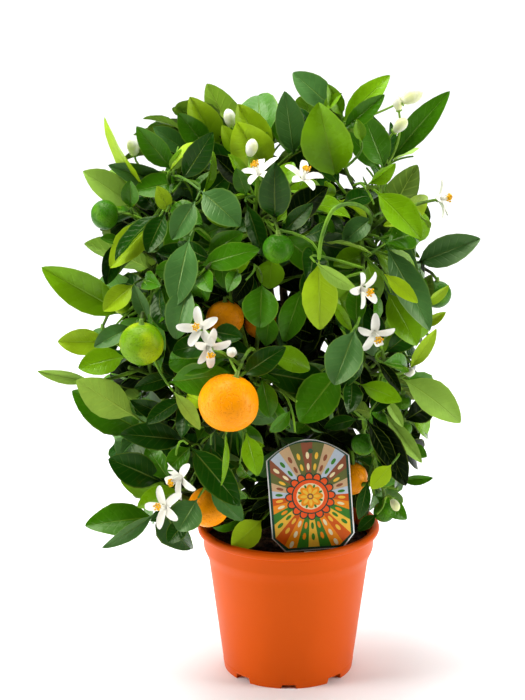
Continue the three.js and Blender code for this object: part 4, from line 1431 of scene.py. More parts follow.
def bark_material(name, colour, crack, scale):
    """Bark with furrows along it and grey-green patches."""
    look = Finish(name, Roughness=0.85, Specular_IOR_Level=0.1)
    stretched = look.add("Mapping", {"Vector": look.place(), "Scale": (1.0, 1.0, 0.22)}).outputs[0]
    furrows = look.noise(stretched, scale, 6.0, 0.62)
    base = look.blend(look.ramp(furrows, 0.38, 0.6), crack, colour)
    base = look.blend(look.times(look.mottle(110.0), 0.4), base, shade(colour, 1.5))
    return look.made(Base_Color=base, Normal=look.bump(furrows, 0.0012, 0.9))


def twig_material(name, colour, ripe):
    """A smooth young twig, greener in places."""
    look = Finish(name, Roughness=0.5, Specular_IOR_Level=0.12)
    grain = look.bump(look.noise(look.place(), 900.0, 3.0), 0.0003, 0.6)
    return look.made(Base_Color=look.blend(look.mottle(45.0), colour, ripe), Normal=grain)


PIT_DRIFT = 0.01  # m, how far the rind's pits are moved about, so that they lie in no rows


def rind_material(name, colour, other):
    """Citrus rind with its oil glands as fine pits, turning to another colour in broad patches."""
    look = Finish(name, Specular_IOR_Level=0.18, Specular_Tint=(1, 0.85, 0.5))
    look.made(Coat_Weight=0.02, Coat_Roughness=0.25)
    place = look.place()
    drift = look.add("TexNoise", {"Vector": place, "Scale": 150.0}).outputs["Color"]
    moved = {0: drift, 1: (PIT_DRIFT,) * 3, 2: place}
    uneven = look.add("VectorMath", moved, operation="MULTIPLY_ADD").outputs[0]
    cells = look.add("TexVoronoi", {"Vector": uneven, "Scale": 520.0}, feature="F1").outputs["Distance"]
    pits = look.ramp(cells, 0.1, 0.5)
    base = look.blend(look.ramp(look.noise(place, 42.0), 0.47, 0.62), colour, other)
    base = look.blend(look.times(look.minus(1.0, pits), 0.14), base, shade(colour, 0.6))
    wax = look.ramp(pits, 0.0, 1.0, 0.5, 0.36)
    return look.made(Base_Color=base, Roughness=wax, Normal=look.bump(pits, 0.0004, 0.8))


def soft_material(name, colour, other, roughness=0.55, scale=160.0):
    """Plain plant tissue, such as petals, sepals and anthers, a little uneven in colour."""
    look = Finish(name, Roughness=roughness, Specular_IOR_Level=0.2)
    patches = look.mottle(scale)
    return look.made(Base_Color=look.blend(patches, colour, other), Normal=look.bump(patches, 0.0003, 0.5))


def plastic_material(name, colour, gloss):
    """Moulded plastic with a fine satin grain."""
    look = Finish(name, Specular_IOR_Level=0.16, Specular_Tint=(1, 0.75, 0.5))
    sweep = look.noise(look.place(), 14.0)
    base = look.blend(sweep, shade(colour, 0.93), shade(colour, 1.05))
    skin = look.bump(look.noise(look.place(), 1500.0), 0.0001, 0.12)
    satin = look.ramp(sweep, 0.3, 0.7, gloss - 0.04, gloss + 0.06)
    return look.made(Base_Color=base, Roughness=satin, Normal=skin)


def soil_material(name, colour, dry):
    """Moist compost with drier patches."""
    look = Finish(name, Roughness=0.95, Specular_IOR_Level=0.1)
    lumps = look.bump(look.noise(look.place(), 600.0, 5.0), 0.0015)
    return look.made(Base_Color=look.blend(look.mottle(130.0), colour, dry), Normal=lumps)


def print_material(name, colour):
    """Ink on a glossy card, with a fine printed grain."""
    look = Finish(name, Roughness=0.32, Specular_IOR_Level=0.15)
    grain = look.noise(look.place(), 700.0)
    return look.made(Base_Color=look.blend(grain, shade(colour, 0.9), shade(colour, 1.08)))


# ---- What a user would change ----


def colour_prop(name, description, *steps):
    return FloatVectorProperty(
        name=name, description=description, default=linear(*steps), size=3, min=0, max=1, subtype="COLOR",
    )


def float_prop(name, description, default, **limits):
    return FloatProperty(name=name, description=description, default=default, **{"min": 0} | limits)


class CALAMONDIN_PG_pot(bpy.types.PropertyGroup):
    colour: colour_prop("Pot colour", "Colour of the pot's plastic", 208, 81, 4)
    gloss: float_prop("Roughness", "Roughness of the pot's plastic", 0.42, max=1)
    bevel: float_prop("Edge radius", "How far the pot's sharp edges are rounded", 0.0005, unit="LENGTH")
    soil: colour_prop("Soil colour", "Colour of the moist compost", 30, 20, 14)
    crumbs: IntProperty(name="Crumbs", description="How many crumbs lie on the compost", default=620, min=0)


class CALAMONDIN_PG_label(bpy.types.PropertyGroup):
    card: colour_prop("Card", "Colour of the label's card", 236, 236, 232)
    edge: colour_prop("Edge", "Colour of the rosette's rim and scallops", 248, 92, 26)
    frame: colour_prop("Frame", "Colour of the frame and of the scallops' rim", 26, 68, 50)
    ground: colour_prop("Ground", "Colour of the reddest of the lower rays", 222, 92, 12)


class CALAMONDIN_PG_wood(bpy.types.PropertyGroup):
    bark: colour_prop("Bark", "Colour of the trunk and boughs", 112, 92, 62)
    crack: colour_prop("Furrows", "Colour in the bark's furrows", 48, 38, 26)
    relief: float_prop("Relief", "Depth of the bark's furrows", 0.0005, unit="LENGTH")
    young: colour_prop("Young twigs", "Colour of this year's twigs", 112, 156, 36)
    # The older twigs' colour also goes to thin twigs deep in the crown, as painted shade.
    old: colour_prop("Older twigs", "Colour of last year's twigs", 38, 46, 18)


class CALAMONDIN_PG_leaves(bpy.types.PropertyGroup):
    # Deep and dark are also painted shade, for leaves in the crown's depth and in shadow.
    deep: colour_prop("Deep", "Colour of leaves in the crown's depth", 5, 20, 1)
    dark: colour_prop("Dark", "Colour of old leaves", 22, 63, 5)
    green: colour_prop("Green", "Colour of grown leaves", 60, 115, 8)
    fresh: colour_prop("Fresh", "Colour of this year's leaves", 110, 158, 8)
    lime: colour_prop("Lime", "Colour of young leaves", 158, 193, 22)
    pale: colour_prop("Pale", "Colour of the youngest leaves", 146, 186, 68)
    # This tint's grey-green is painted sheen, standing in for the light that glossy leaves reflect.
    dusty: colour_prop("Dusty", "Colour of leaves with a dull bloom", 68, 112, 50)
    rib: colour_prop("Midrib", "Colour that the ribs and margins tend to", 170, 196, 72)


class CALAMONDIN_PG_fruit(bpy.types.PropertyGroup):
    ripe: colour_prop("Ripe", "Colour of ripe rind", 248, 150, 1)
    turning: colour_prop("Turning", "Colour of rind that has begun to turn", 100, 142, 4)
    green: colour_prop("Green", "Colour of unripe rind", 46, 102, 6)
    flatness: float_prop("Height", "A fruit's height over its width", 0.95, min=0.5, max=1)


class CALAMONDIN_PG_blossom(bpy.types.PropertyGroup):
    petal: colour_prop("Petals", "Colour of the petals", 238, 237, 224)
    bud: colour_prop("Buds", "Colour of the flower buds", 222, 226, 160)
    anther: colour_prop("Anthers", "Colour of the anthers", 244, 188, 24)
    sepal: colour_prop("Sepals", "Colour of sepals and flower stalks", 120, 158, 50)


class CALAMONDIN_PG_stage(bpy.types.PropertyGroup):
    floor: colour_prop("Floor", "Colour of the floor", 250, 250, 250)
    world: float_prop("World", "Strength of the light from all round", 0.03)
    left: float_prop("Left box", "Power of the left softbox", 29, unit="POWER")
    right: float_prop("Right box", "Power of the right softbox", 26, unit="POWER")
    top: float_prop("Top box", "Power of the box overhead", 27, unit="POWER")
    back: float_prop("Backdrop", "Power of the backdrop's light", 190, unit="POWER")


GROUPS = {
    f"calamondin_{kind.__name__.split('_')[-1]}": kind
    for kind in (
        CALAMONDIN_PG_pot, CALAMONDIN_PG_label, CALAMONDIN_PG_wood, CALAMONDIN_PG_leaves, CALAMONDIN_PG_fruit,
        CALAMONDIN_PG_blossom, CALAMONDIN_PG_stage,
    )
}


class Step(bpy.types.Operator):
    """What the operators share."""

    bl_options = {"REGISTER", "UNDO"}

    def execute(self, context):
        self.make(context.scene)
        return {"FINISHED"}


def dressed(piece, slot, *nodes):
    """Lets a finished piece ride on the plant and stand for the nodes that it replaces."""
    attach(piece, BODY)
    if nodes:
        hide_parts(*nodes)
    return piece


@functools.cache
def tree():
    """The crown, grown once for all the operators."""
    return Tree()


# ---- Pot and soil ----


def pot_profile():
    """The pot's section with its corners' radii: out from the foot, up to the lip and down over the floor."""
    stand = POT.foot - POT.foot_width
    return (
        ((POT.disc, 0), 0), ((POT.disc + 2, POT.arch), 0.6),
        ((stand - 1.4, POT.arch), 0.6), ((stand, 0), 0.5),
        ((POT.foot, 0), 0.6), ((POT.foot + 0.9, 6.4), 0.2), ((POT.foot + 0.8, 7), 0.2),
        ((POT.body, POT.collar_foot - 8), 3), ((POT.collar - 1.6, POT.collar_foot - 1.4), 1.2),
        ((POT.collar - 0.9, POT.collar_foot + 0.6), 0.8), ((POT.collar, POT.height - POT.lip - 0.6), 0.8),
        ((POT.rim - 0.7, POT.height - POT.lip + 0.5), 1.3), ((POT.rim, POT.height - 3), 2.2),
        ((POT.rim - 1.8, POT.height), 1.5), ((POT.collar - POT.wall, POT.height - 0.2), 0.9),
        ((POT.collar - POT.wall, POT.collar_foot + 2), 1), ((POT.body - POT.wall, POT.collar_foot - 9), 1),
        ((POT.foot - POT.wall + 1.4, POT.arch + POT.floor), 0), ((0, POT.arch + POT.floor), 0),
    )


ARCHES = ((0, 12, POT.small_arch), (pi / 4, 15, POT.arch))  # in each quarter: turn, width and height


def cut_arches(pot):
    """Cuts the drainage gaps through the pot's foot, with cutters that narrow upwards."""
    across = POT.foot - POT.foot_width / 2
    for quarter in range(4):
        for turn, width, high in ARCHES:
            cutter = primitive("cube", size=MM)
            for vertex in cutter.data.vertices:
                vertex.co.x *= width - 2 if vertex.co.z > 0 else width + 2
            edit(cutter)
            bpy.ops.transform.resize(value=(1, POT.foot_width + 6, 2 * high))
            bpy.ops.transform.translate(value=(0, -across * MM, 0))
            done(cutter)
            cutter.data.transform(Matrix.Rotation(quarter * pi / 2 + turn, 4, "Z"))
            apply_modifier(pot, "BOOLEAN", object=cutter, operation="DIFFERENCE", solver="EXACT")
            bpy.data.objects.remove(cutter)


class CALAMONDIN_OT_pot(Step):
    """Turns the nursery pot, cuts its drainage gaps and rounds its edges"""

    bl_idname = "calamondin.pot"
    bl_label = "Pot"

    def make(self, scene):
        look = scene.calamondin_pot
        corners = pot_profile()
        profile = round_corners([point for point, _ in corners], [radius for _, radius in corners[1:-1]])
        pot = lathe("nursery_pot", profile, 120)
        cut_arches(pot)
        round_edges(pot, look.bevel)
        smooth(pot, 35)
        pot.data.materials.append(plastic_material("pot_plastic", look.colour, look.gloss))
        dressed(pot, "pot", "pot")


def soil_height(x, y):
    """How far the compost stands above or below its level, in millimetres."""
    broad = noise.noise(Vector((x * 0.06, y * 0.06, 3.1)))
    fine = noise.noise(Vector((x * 0.35, y * 0.35, 9.7)))
    return 1.1 * broad + 0.9 * fine - 0.6


class CALAMONDIN_OT_soil(Step):
    """Fills the pot with compost and strews crumbs over it"""

    bl_idname = "calamondin.soil"
    bl_label = "Soil"

    def make(self, scene):
        look = scene.calamondin_pot
        inset = POT.wall + 2 * GAP
        edge = POT.collar - inset
        rings = [(radius, SOIL.top) for radius in np.linspace(POT.collar - 14, 3, 16)]
        profile = [
            (POT.foot - inset, POT.arch + POT.floor + GAP), (POT.body - inset, POT.collar_foot - 9),
            (edge, POT.collar_foot + 1.8), (edge, SOIL.top - SOIL.edge_dip), *rings, (0, SOIL.top),
        ]
        soil = lathe("compost", profile, 90)
        for vertex in soil.data.vertices:
            if vertex.co.z > (SOIL.top - SOIL.edge_dip - 0.5) * MM:
                vertex.co.z += soil_height(vertex.co.x / MM, vertex.co.y / MM) * MM
        self.strew(soil, look.crumbs)
        smooth(soil, 40)
        soil.data.materials.append(soil_material("compost", look.soil, linear(84, 60, 40)))
        dressed(soil, "soil", "soil")

    def strew(self, soil, count):
        """Joins many rough crumbs into the soil, each a small lump pushed out of round."""
        form, faces = form_of("ico_sphere", subdivisions=1, radius=1)
        chance = seeded(SEED.crumbs)
        crumbs = Heap()
        for _ in range(count):
            radius, angle = 61 * sqrt(chance()), 6.283 * chance()
            x, y = radius * cos(angle), radius * sin(angle)
            dip = SOIL.edge_dip * max(0, (radius - 52) / 12)
            size = 0.6 + 1.7 * chance() ** 2
            stretch = vec(1 + 0.6 * chance(), 1 - 0.3 * chance(), 0.7)
            lump = spun(form * stretch, 6.3 * chance())
            rough = 1 + 0.25 * np.array([noise.noise(Vector(p * 2.1 + x)) for p in form])[:, None]
            crumbs.add(lump * rough * size + vec(x, y, SOIL.top - dip + soil_height(x, y) + 0.2), faces)
        join(soil, crumbs.piece("crumbs", crease=20))


# ---- Label ----

LABEL_PLACE = (
    Matrix.Translation((LABEL.x * MM, LABEL.y * MM, LABEL.foot * MM))
    @ Matrix.Rotation(pi / 2, 4, "X")
    @ Matrix.Rotation(LABEL.tilt, 4, "Z")
)
INK = 0.05  # mm, the step from one printed layer to the next
PRINT = SimpleNamespace(  # the label's pattern: counts, and sizes in mm
    margin=0.9, frame=1.8, middle=37, rays=30, scallops=16, rosette=14, sprigs=(20.6, 29.4, 38),
)
INKS = {
    "sky": (196, 208, 222), "sand": (214, 178, 134), "clay": (150, 84, 54), "olive": (104, 110, 52),
    "sun": (255, 200, 62), "peel": (255, 150, 12), "pith": (253, 234, 184), "leaf": (58, 130, 34),
    "hole": (60, 92, 60),
}
ABOVE = (("sky", "leaf"), ("sand", "clay"), ("olive", "sun"), ("clay", "pith"))  # a ray's ink and its petals'
BELOW = (("ground", "sun"), ("peel", "pith"), ("leaf", "peel"), ("sun", "leaf"))


def label_outline(inset=0.0, steps=14):
    """The label's outline in its own plane: cut lower corners, straight sides and an arched top."""
    half, crown, corner = LABEL.width / 2 - inset, LABEL.crown, LABEL.corner
    arch = Bow(vec(half, LABEL.high - crown, 0), vec(half * 0.5, LABEL.high + crown * 0.25, 0),
               vec(0, LABEL.high + crown * 0.35 - inset, 0)).at(np.linspace(0, 1, steps))[:, :2]
    right = [(half - corner, 3 - corner + inset), (half, corner * 0.6), *map(tuple, arch)]
    return right + [(-x, y) for x, y in reversed(right[:-1])]


def disc(x, y, radius, steps):
    """The outline of a round disc."""
    return [(x + radius * cos(a), y + radius * sin(a)) for a in turns(steps)]


def plate(outline, low, high, name="plate"):
    """A flat plate in the label's own plane: a ring of points is moved to an outline, filled and extruded."""
    made = primitive("circle", vertices=len(outline), radius=MM, fill_type="NOTHING")
    for vertex, (x, y) in zip(made.data.vertices, outline):
        vertex.co = Vector((x, y, low)) * MM
    edit(made)
    bpy.ops.mesh.edge_face_add()
    bpy.ops.mesh.extrude_region_move(TRANSFORM_OT_translate={"value": (0, 0, (high - low) * MM)})
    bpy.ops.mesh.select_all(action="SELECT")
    bpy.ops.mesh.normals_make_consistent(inside=False)
    return done(made, name)


def petal(turn, near, long, wide):
    """The outline of a petal that points away from the pattern's middle."""
    oval = [(near + (x + 1) * long / 2, y * wide / 2) for x, y in disc(0, 0, 1, 14)]
    return [(x * cos(turn) - y * sin(turn), PRINT.middle + x * sin(turn) + y * cos(turn)) for x, y in oval]


def wedges(outline):
    """Cuts an outline into rays from the pattern's middle; gives each one's outline and its reach."""
    middle = Vector((0, PRINT.middle))
    edges = list(zip(outline, [*outline[1:], outline[0]]))

    def rim(turn):
        far = middle + Vector((cos(turn), sin(turn))) * 2 * LABEL.high
        return next(hit for hit in (intersect_line_line_2d(middle, far, *edge) for edge in edges) if hit)

    corners = sorted((atan2(y - PRINT.middle, x) % (2 * pi), (x, y)) for x, y in outline)
    step = 2 * pi / PRINT.rays
    for k in range(PRINT.rays):
        low, high = k * step, (k + 1) * step
        between = [corner for turn, corner in corners if low < turn < high]
        reach = (rim(low + step / 2) - middle).length
        yield [tuple(middle), tuple(rim(low)), *between, tuple(rim(high))], reach


def ring(layer, name, count, near, long, wide, shift=0.0):
    """Petals all round the pattern's middle."""
    return [(layer, name, petal((k + shift) * 2 * pi / count, near, long, wide)) for k in range(count)]


def rays_and_petals():
    """The pattern's rays, of four inks above and four below, and the petals along them."""
    rays = list(wedges(label_outline(PRINT.margin + PRINT.frame)))
    half = len(rays) // 2
    inks = [(ABOVE if k < half else BELOW)[min(k % half, half - 1 - k % half) % 4] for k in range(len(rays))]
    yield from ((2, ink[0], outline) for ink, (outline, _) in zip(inks, rays))
    for k, (ink, (_, reach)) in enumerate(zip(inks, rays)):
        for near in PRINT.sprigs:
            if near + 6 < reach:
                yield 3, ink[1], petal((k + 0.5) * 2 * pi / len(rays), near, 5.6, 1.4 + near / 25)


def pattern():
    """The label's pattern as layers, inks and outlines: a rosette with scallops, and rays to a dark frame."""
    size, middle = PRINT.rosette, PRINT.middle
    return [
        (1, "frame", label_outline(PRINT.margin)),
        *rays_and_petals(),
        *ring(4, "frame", PRINT.scallops, size - 2, 7, 6.4),
        *ring(5, "edge", PRINT.scallops, size - 2, 6, 4.8),
        (6, "frame", disc(0, middle, size, 32)),
        (7, "edge", disc(0, middle, size * 0.93, 32)),
        (8, "pith", disc(0, middle, size * 0.74, 32)),
        *ring(9, "peel", 8, 1, size * 0.62, 5.4),
        *ring(10, "sun", 8, 2, size * 0.4, 2.4),
        *ring(10, "leaf", 8, size * 0.5, size * 0.2, 1.6, 0.5),
        (11, "clay", disc(0, middle, 2.4, 16)),
        (12, "sun", disc(0, middle, 1.3, 12)),
        (4, "hole", disc(2.5, LABEL.high - 5.5, 1.9, 20)),
    ]


class CALAMONDIN_OT_label(Step):
    """Cuts the plant label with its spike and prints a plain pattern of rays on it"""

    bl_idname = "calamondin.label"
    bl_label = "Label"

    def make(self, scene):
        look = scene.calamondin_label
        card = plate(label_outline(), -LABEL.thick / 2, LABEL.thick / 2, "label_card")
        half, top = LABEL.spike / 2, 2 - LABEL.corner
        spike = [(-half, top), (-half * 0.55, -LABEL.deep), (half * 0.55, -LABEL.deep), (half, top)]
        join(card, plate(spike, -LABEL.thick / 2, LABEL.thick / 2))
        round_edges(card, 0.0002)
        card.data.transform(LABEL_PLACE)
        card.data.materials.append(print_material("label_card", look.card))
        smooth(card, 40)
        dressed(card, "label", "label")
        pieces = list(self.plates(look))
        join(*pieces)
        printed = pieces[0]
        printed.name = printed.data.name = "label_print"
        printed.data.transform(LABEL_PLACE)
        dressed(printed, "label")

    def plates(self, look):
        """Prints the pattern, a thin plate for each of its shapes."""
        inks = {name: linear(*steps) for name, steps in INKS.items()}
        inks |= {name: getattr(look, name) for name in ("edge", "frame", "ground")}
        inks = {name: print_material(f"ink_{name}", colour) for name, colour in inks.items()}
        for count, (layer, name, outline) in enumerate(pattern()):
            made = plate(outline, LABEL.thick / 2, LABEL.thick / 2 + layer * INK + count * INK / 100)
            made.data.materials.append(inks[name])
            yield made


# ---- Wood ----


def bark_ridges(place, angle, way, depth):
    """How far bark stands out or in at a place on a limb."""
    around = Vector((cos(angle) * 2.2, sin(angle) * 2.2, place * 0.045))
    fine = Vector((cos(angle) * 5, sin(angle) * 5, place * 0.12 + way))
    return depth * (1.3 * noise.noise(around * 1.7) + 0.8 * noise.noise(fine * 1.3))


def add_limb(heap, line, radii, places, way, depth):
    """Adds a limb with bark to a heap. places tell where each of its rings lies in the bark."""
    sides = radii.shape[1]
    ridges = [[bark_ridges(place, angle, way, depth) for angle in turns(sides)] for place in places]
    heap.tube(line, radii + ridges, sides)


class CALAMONDIN_OT_wood(Step):
    """Makes the trunk and the boughs with furrowed bark"""

    bl_idname = "calamondin.wood"
    bl_label = "Trunk and boughs"

    def make(self, scene):
        look = scene.calamondin_wood
        depth = look.relief / MM
        shares = np.linspace(TRUNK.under / (TRUNK.tip - TRUNK_START), 1, 110)
        line = smooth_places(TRUNK_STOPS, shares)
        trunk, boughs = Heap(), Heap()
        add_limb(trunk, line, trunk_radius(shares[:, None], turns(30)), line[:, 2], 0, depth)
        bark = bark_material("bark", look.bark, look.crack, 260.0)
        dressed(trunk.piece("trunk_bark", bark), "bark", "trunk")
        shares = np.linspace(0, 1, 36)
        collar = 0.8 * np.maximum(0, 1 - 8 * shares) ** 2
        radii = np.repeat((mix(BOUGH.root, BOUGH.tip, shares) + collar)[:, None], 16, axis=1)
        for mass in tree().masses:
            add_limb(boughs, mass.bough.at(shares), radii, shares * 90, mass.index, depth * 0.7)
        bark = bark_material("bough_bark", linear(104, 108, 62), look.crack, 340.0)
        dressed(boughs.piece("boughs_bark", bark), "bough", *BOUGH_NODES)


# Thin twigs deeper in the crown take the older, darker colour, partly for their age and partly as painted
# shade.
YOUNG_FROM = 0.85  # how far out in the crown thin twigs are still green


class CALAMONDIN_OT_twigs(Step):
    """Makes the stems, the twigs and the side shoots"""

    bl_idname = "calamondin.twigs"
    bl_label = "Twigs"

    def make(self, scene):
        look = scene.calamondin_wood
        grown = tree()
        older_and_shaded_heap, green = Heap(), Heap()
        for mass in grown.masses:
            line = Bow(mass.bough.tip, mass.stem.knee, mass.stem.tip).along(10)
            older_and_shaded_heap.tube(line, np.linspace(BOUGH.tip, STEM.tip, 10), 8)
        for twig in grown.twigs:
            if twig.bearing or twig.leaves or twig.carries:
                thin = twig.radii[0] < TWIG.root
                sides, steps = (5, 6) if thin else (6, 8)
                outside = norm(crown_share(twig.curve.tip)) > YOUNG_FROM
                heap = green if thin and outside else older_and_shaded_heap
                heap.tube(twig.curve.along(steps), mix(*twig.radii, np.linspace(0, 1, steps)), sides)
        green.tube(smooth_places(grown.arched, np.linspace(0, 1, 24)), np.linspace(*ARCHED_RADII, 24), 10)
        older = twig_material("older_twig", look.old, look.young)
        young = twig_material("young_twig", look.young, linear(70, 104, 36))
        dressed(older_and_shaded_heap.piece("twigs_older", older), "foliage")
        dressed(green.piece("twigs_young", young), "foliage")


# ---- Leaves ----


# The deep and dark leaves keep darker undersides as painted shade.
LEAF_FINISH = {  # roughness on top, sheen, and how much paler the underside is
    "deep": (0.2, 0.04, 0.15), "dark": (0.16, 0.2, 0.35), "green": (0.18, 0.24, 0.5),
    "fresh": (0.24, 0.25, 0.5), "lime": (0.3, 0.25, 0.5), "pale": (0.4, 0.25, 0.5), "dusty": (0.3, 0.34, 0.5),
}


class CALAMONDIN_OT_leaves(Step):
    """Makes the leaves, one piece for each tint"""

    bl_idname = "calamondin.leaves"
    bl_label = "Leaves"

    def make(self, scene):
        look = scene.calamondin_leaves
        heaps = {tint: Heap() for tint in TINTS}
        for twig in tree().twigs:
            for leaf in twig.leaves:
                heaps[leaf.tint].add(leaf_points(leaf), LEAF_MESH.faces, LEAF_MESH.places, LEAF_MESH.finishes)
        for tint, heap in heaps.items():
            gloss, sheen, paler = LEAF_FINISH[tint]
            colour = getattr(look, tint)
            top = leaf_top(f"leaf_{tint}", colour, toward(colour, look.rib, 0.4), gloss, sheen)
            under = leaf_under(f"leaf_{tint}_under", toward(colour, linear(142, 172, 60), paler), look.rib)
            dressed(heap.piece(f"leaves_{tint}", top, under), "foliage", *MASS_NODES)


# ---- Fruit ----


def spun(points, turn):
    """Points turned about +Z."""
    return points @ np.array(Matrix.Rotation(turn, 3, "Z")).T


def turned_to(points, way, turn=0.0):
    """Points whose +Z is turned to a direction, and which are turned about it."""
    rotation = Vector((0, 0, 1)).rotation_difference(Vector(way)).to_matrix() @ Matrix.Rotation(turn, 3, "Z")
    return points @ np.array(rotation).T


def fruit_points(form, fruit, flatness):
    """A fruit with a dimple at its stalk, a small navel and a slightly uneven surface."""
    height = form[:, 2]
    dimple = 0.07 * np.exp(-((1 - height) / 0.035)) + 0.03 * np.exp(-((1 + height) / 0.01))
    lumps = np.array([noise.noise(Vector(p * 1.4 + fruit.middle[0])) for p in form]) * 0.025
    points = form * (1 + lumps)[:, None]
    points[:, 2] = (height * (1 + lumps) - np.sign(height) * dimple) * flatness
    return points * fruit.radius


STAR_POINTS = 10  # five lobes and the notches between them


def star_points(radius, high):
    """A star of sepals: rings of points from a middle out to its lobes, for an upper and a lower side."""
    points = [(0, 0, high), (0, 0, -high * 0.6)]
    for reach, lift in ((0.4, high * 0.9), (1.0, 0.0), (0.5, -high * 0.6)):
        for k, angle in enumerate(turns(STAR_POINTS)):
            size = radius * reach * (1.0 if k % 2 == 0 else 0.62)
            points.append((size * cos(angle), size * sin(angle), lift))
    faces = [(a + 2, d + 2, c + 2, b + 2) for a, b, c, d in strips(3, STAR_POINTS)]
    for k in range(STAR_POINTS):
        a, b = 2 + k, 2 + (k + 1) % STAR_POINTS
        faces += [(0, a, b), (1, b + 2 * STAR_POINTS, a + 2 * STAR_POINTS)]
    return np.array(points, float), faces


class CALAMONDIN_OT_fruit(Step):
    """Hangs the fruits on their twigs, by ripeness, with their calyxes"""

    bl_idname = "calamondin.fruit"
    bl_label = "Fruit"

    def make(self, scene):
        look = scene.calamondin_fruit
        form, faces = form_of("uv_sphere", segments=40, ring_count=26, radius=1)
        heaps = {"ripe": Heap(), "turning": Heap(), "green": Heap()}
        calyxes = Heap()
        for fruit, (*_, ripeness) in zip(BALLS, FRUITS):
            chance = seeded(SEED.fruit + fruit.index)
            lean, high = fruit.stalk, fruit.radius * look.flatness
            points = turned_to(fruit_points(form, fruit, look.flatness), lean, 6 * chance())
            heaps[ripeness].add(points + fruit.middle, faces)
            top = fruit.middle + lean * high * 0.93
            calyxes.star(top, lean, 0.16 * fruit.radius + 1.4, 0.8, 6 * chance())
            calyxes.tube([top - lean, top + lean * 1.2, fruit.twig.curve.tip + lean * 2], (2.1, 1.7, 1.4), 8)
            calyxes.star(fruit.middle - lean * high * 0.965, -lean, 0.05 * fruit.radius + 0.4, 0.3, chance())
        others = {
            "ripe": shade(look.ripe, 0.92), "turning": linear(148, 174, 12), "green": linear(74, 128, 12),
        }
        for ripeness, heap in heaps.items():
            rind = rind_material(f"rind_{ripeness}", getattr(look, ripeness), others[ripeness])
            dressed(heap.piece(f"fruits_{ripeness}", rind), "foliage")
        sepal = soft_material("calyx", linear(92, 132, 44), linear(120, 150, 60), 0.6)
        dressed(calyxes.piece("fruit_calyxes", sepal), "foliage")


# ---- Blossom ----

PETAL_ROWS = (0.0, 0.14, 0.32, 0.52, 0.72, 0.88, 0.97)
PETALS, STAMENS = 5, 12


def petal_points(long, wide, start, curl):
    """A strap-shaped petal that leaves +Z at an angle and curls further out towards +X.

    It has rows of three upper points and a lower one, and a blunt tip.
    """
    share = np.array((*PETAL_ROWS, 1.0))
    turn = start + curl * share
    flat = 0 * share
    out = long * (cos(start) - np.cos(turn)) / curl
    middle = np.stack([out, flat, long * (np.sin(turn) - sin(start)) / curl], 1)
    normal = np.stack([-np.cos(turn), flat, np.sin(turn)], 1)
    swell = 0.5 + 0.5 * np.sin(pi * np.minimum(1, share * 0.78 + 0.06))
    half = 0.5 * wide * swell * (1 - share ** 7) ** 0.5
    rows = [
        middle + np.outer(side * half, (0, 1, 0)) + normal * (0.4 * abs(side) * half)[:, None]
        for side in (-1, 0, 1)
    ]
    points = np.stack([*rows, middle - normal * 0.7], 1).reshape(-1, 3)[:-3]
    last = (len(PETAL_ROWS) - 1) * 4
    end = [(last + k, last + (k + 1) % 4, last + 4) for k in range(4)]
    return points, [(3, 2, 1, 0), *strips(len(PETAL_ROWS), 4), *end]


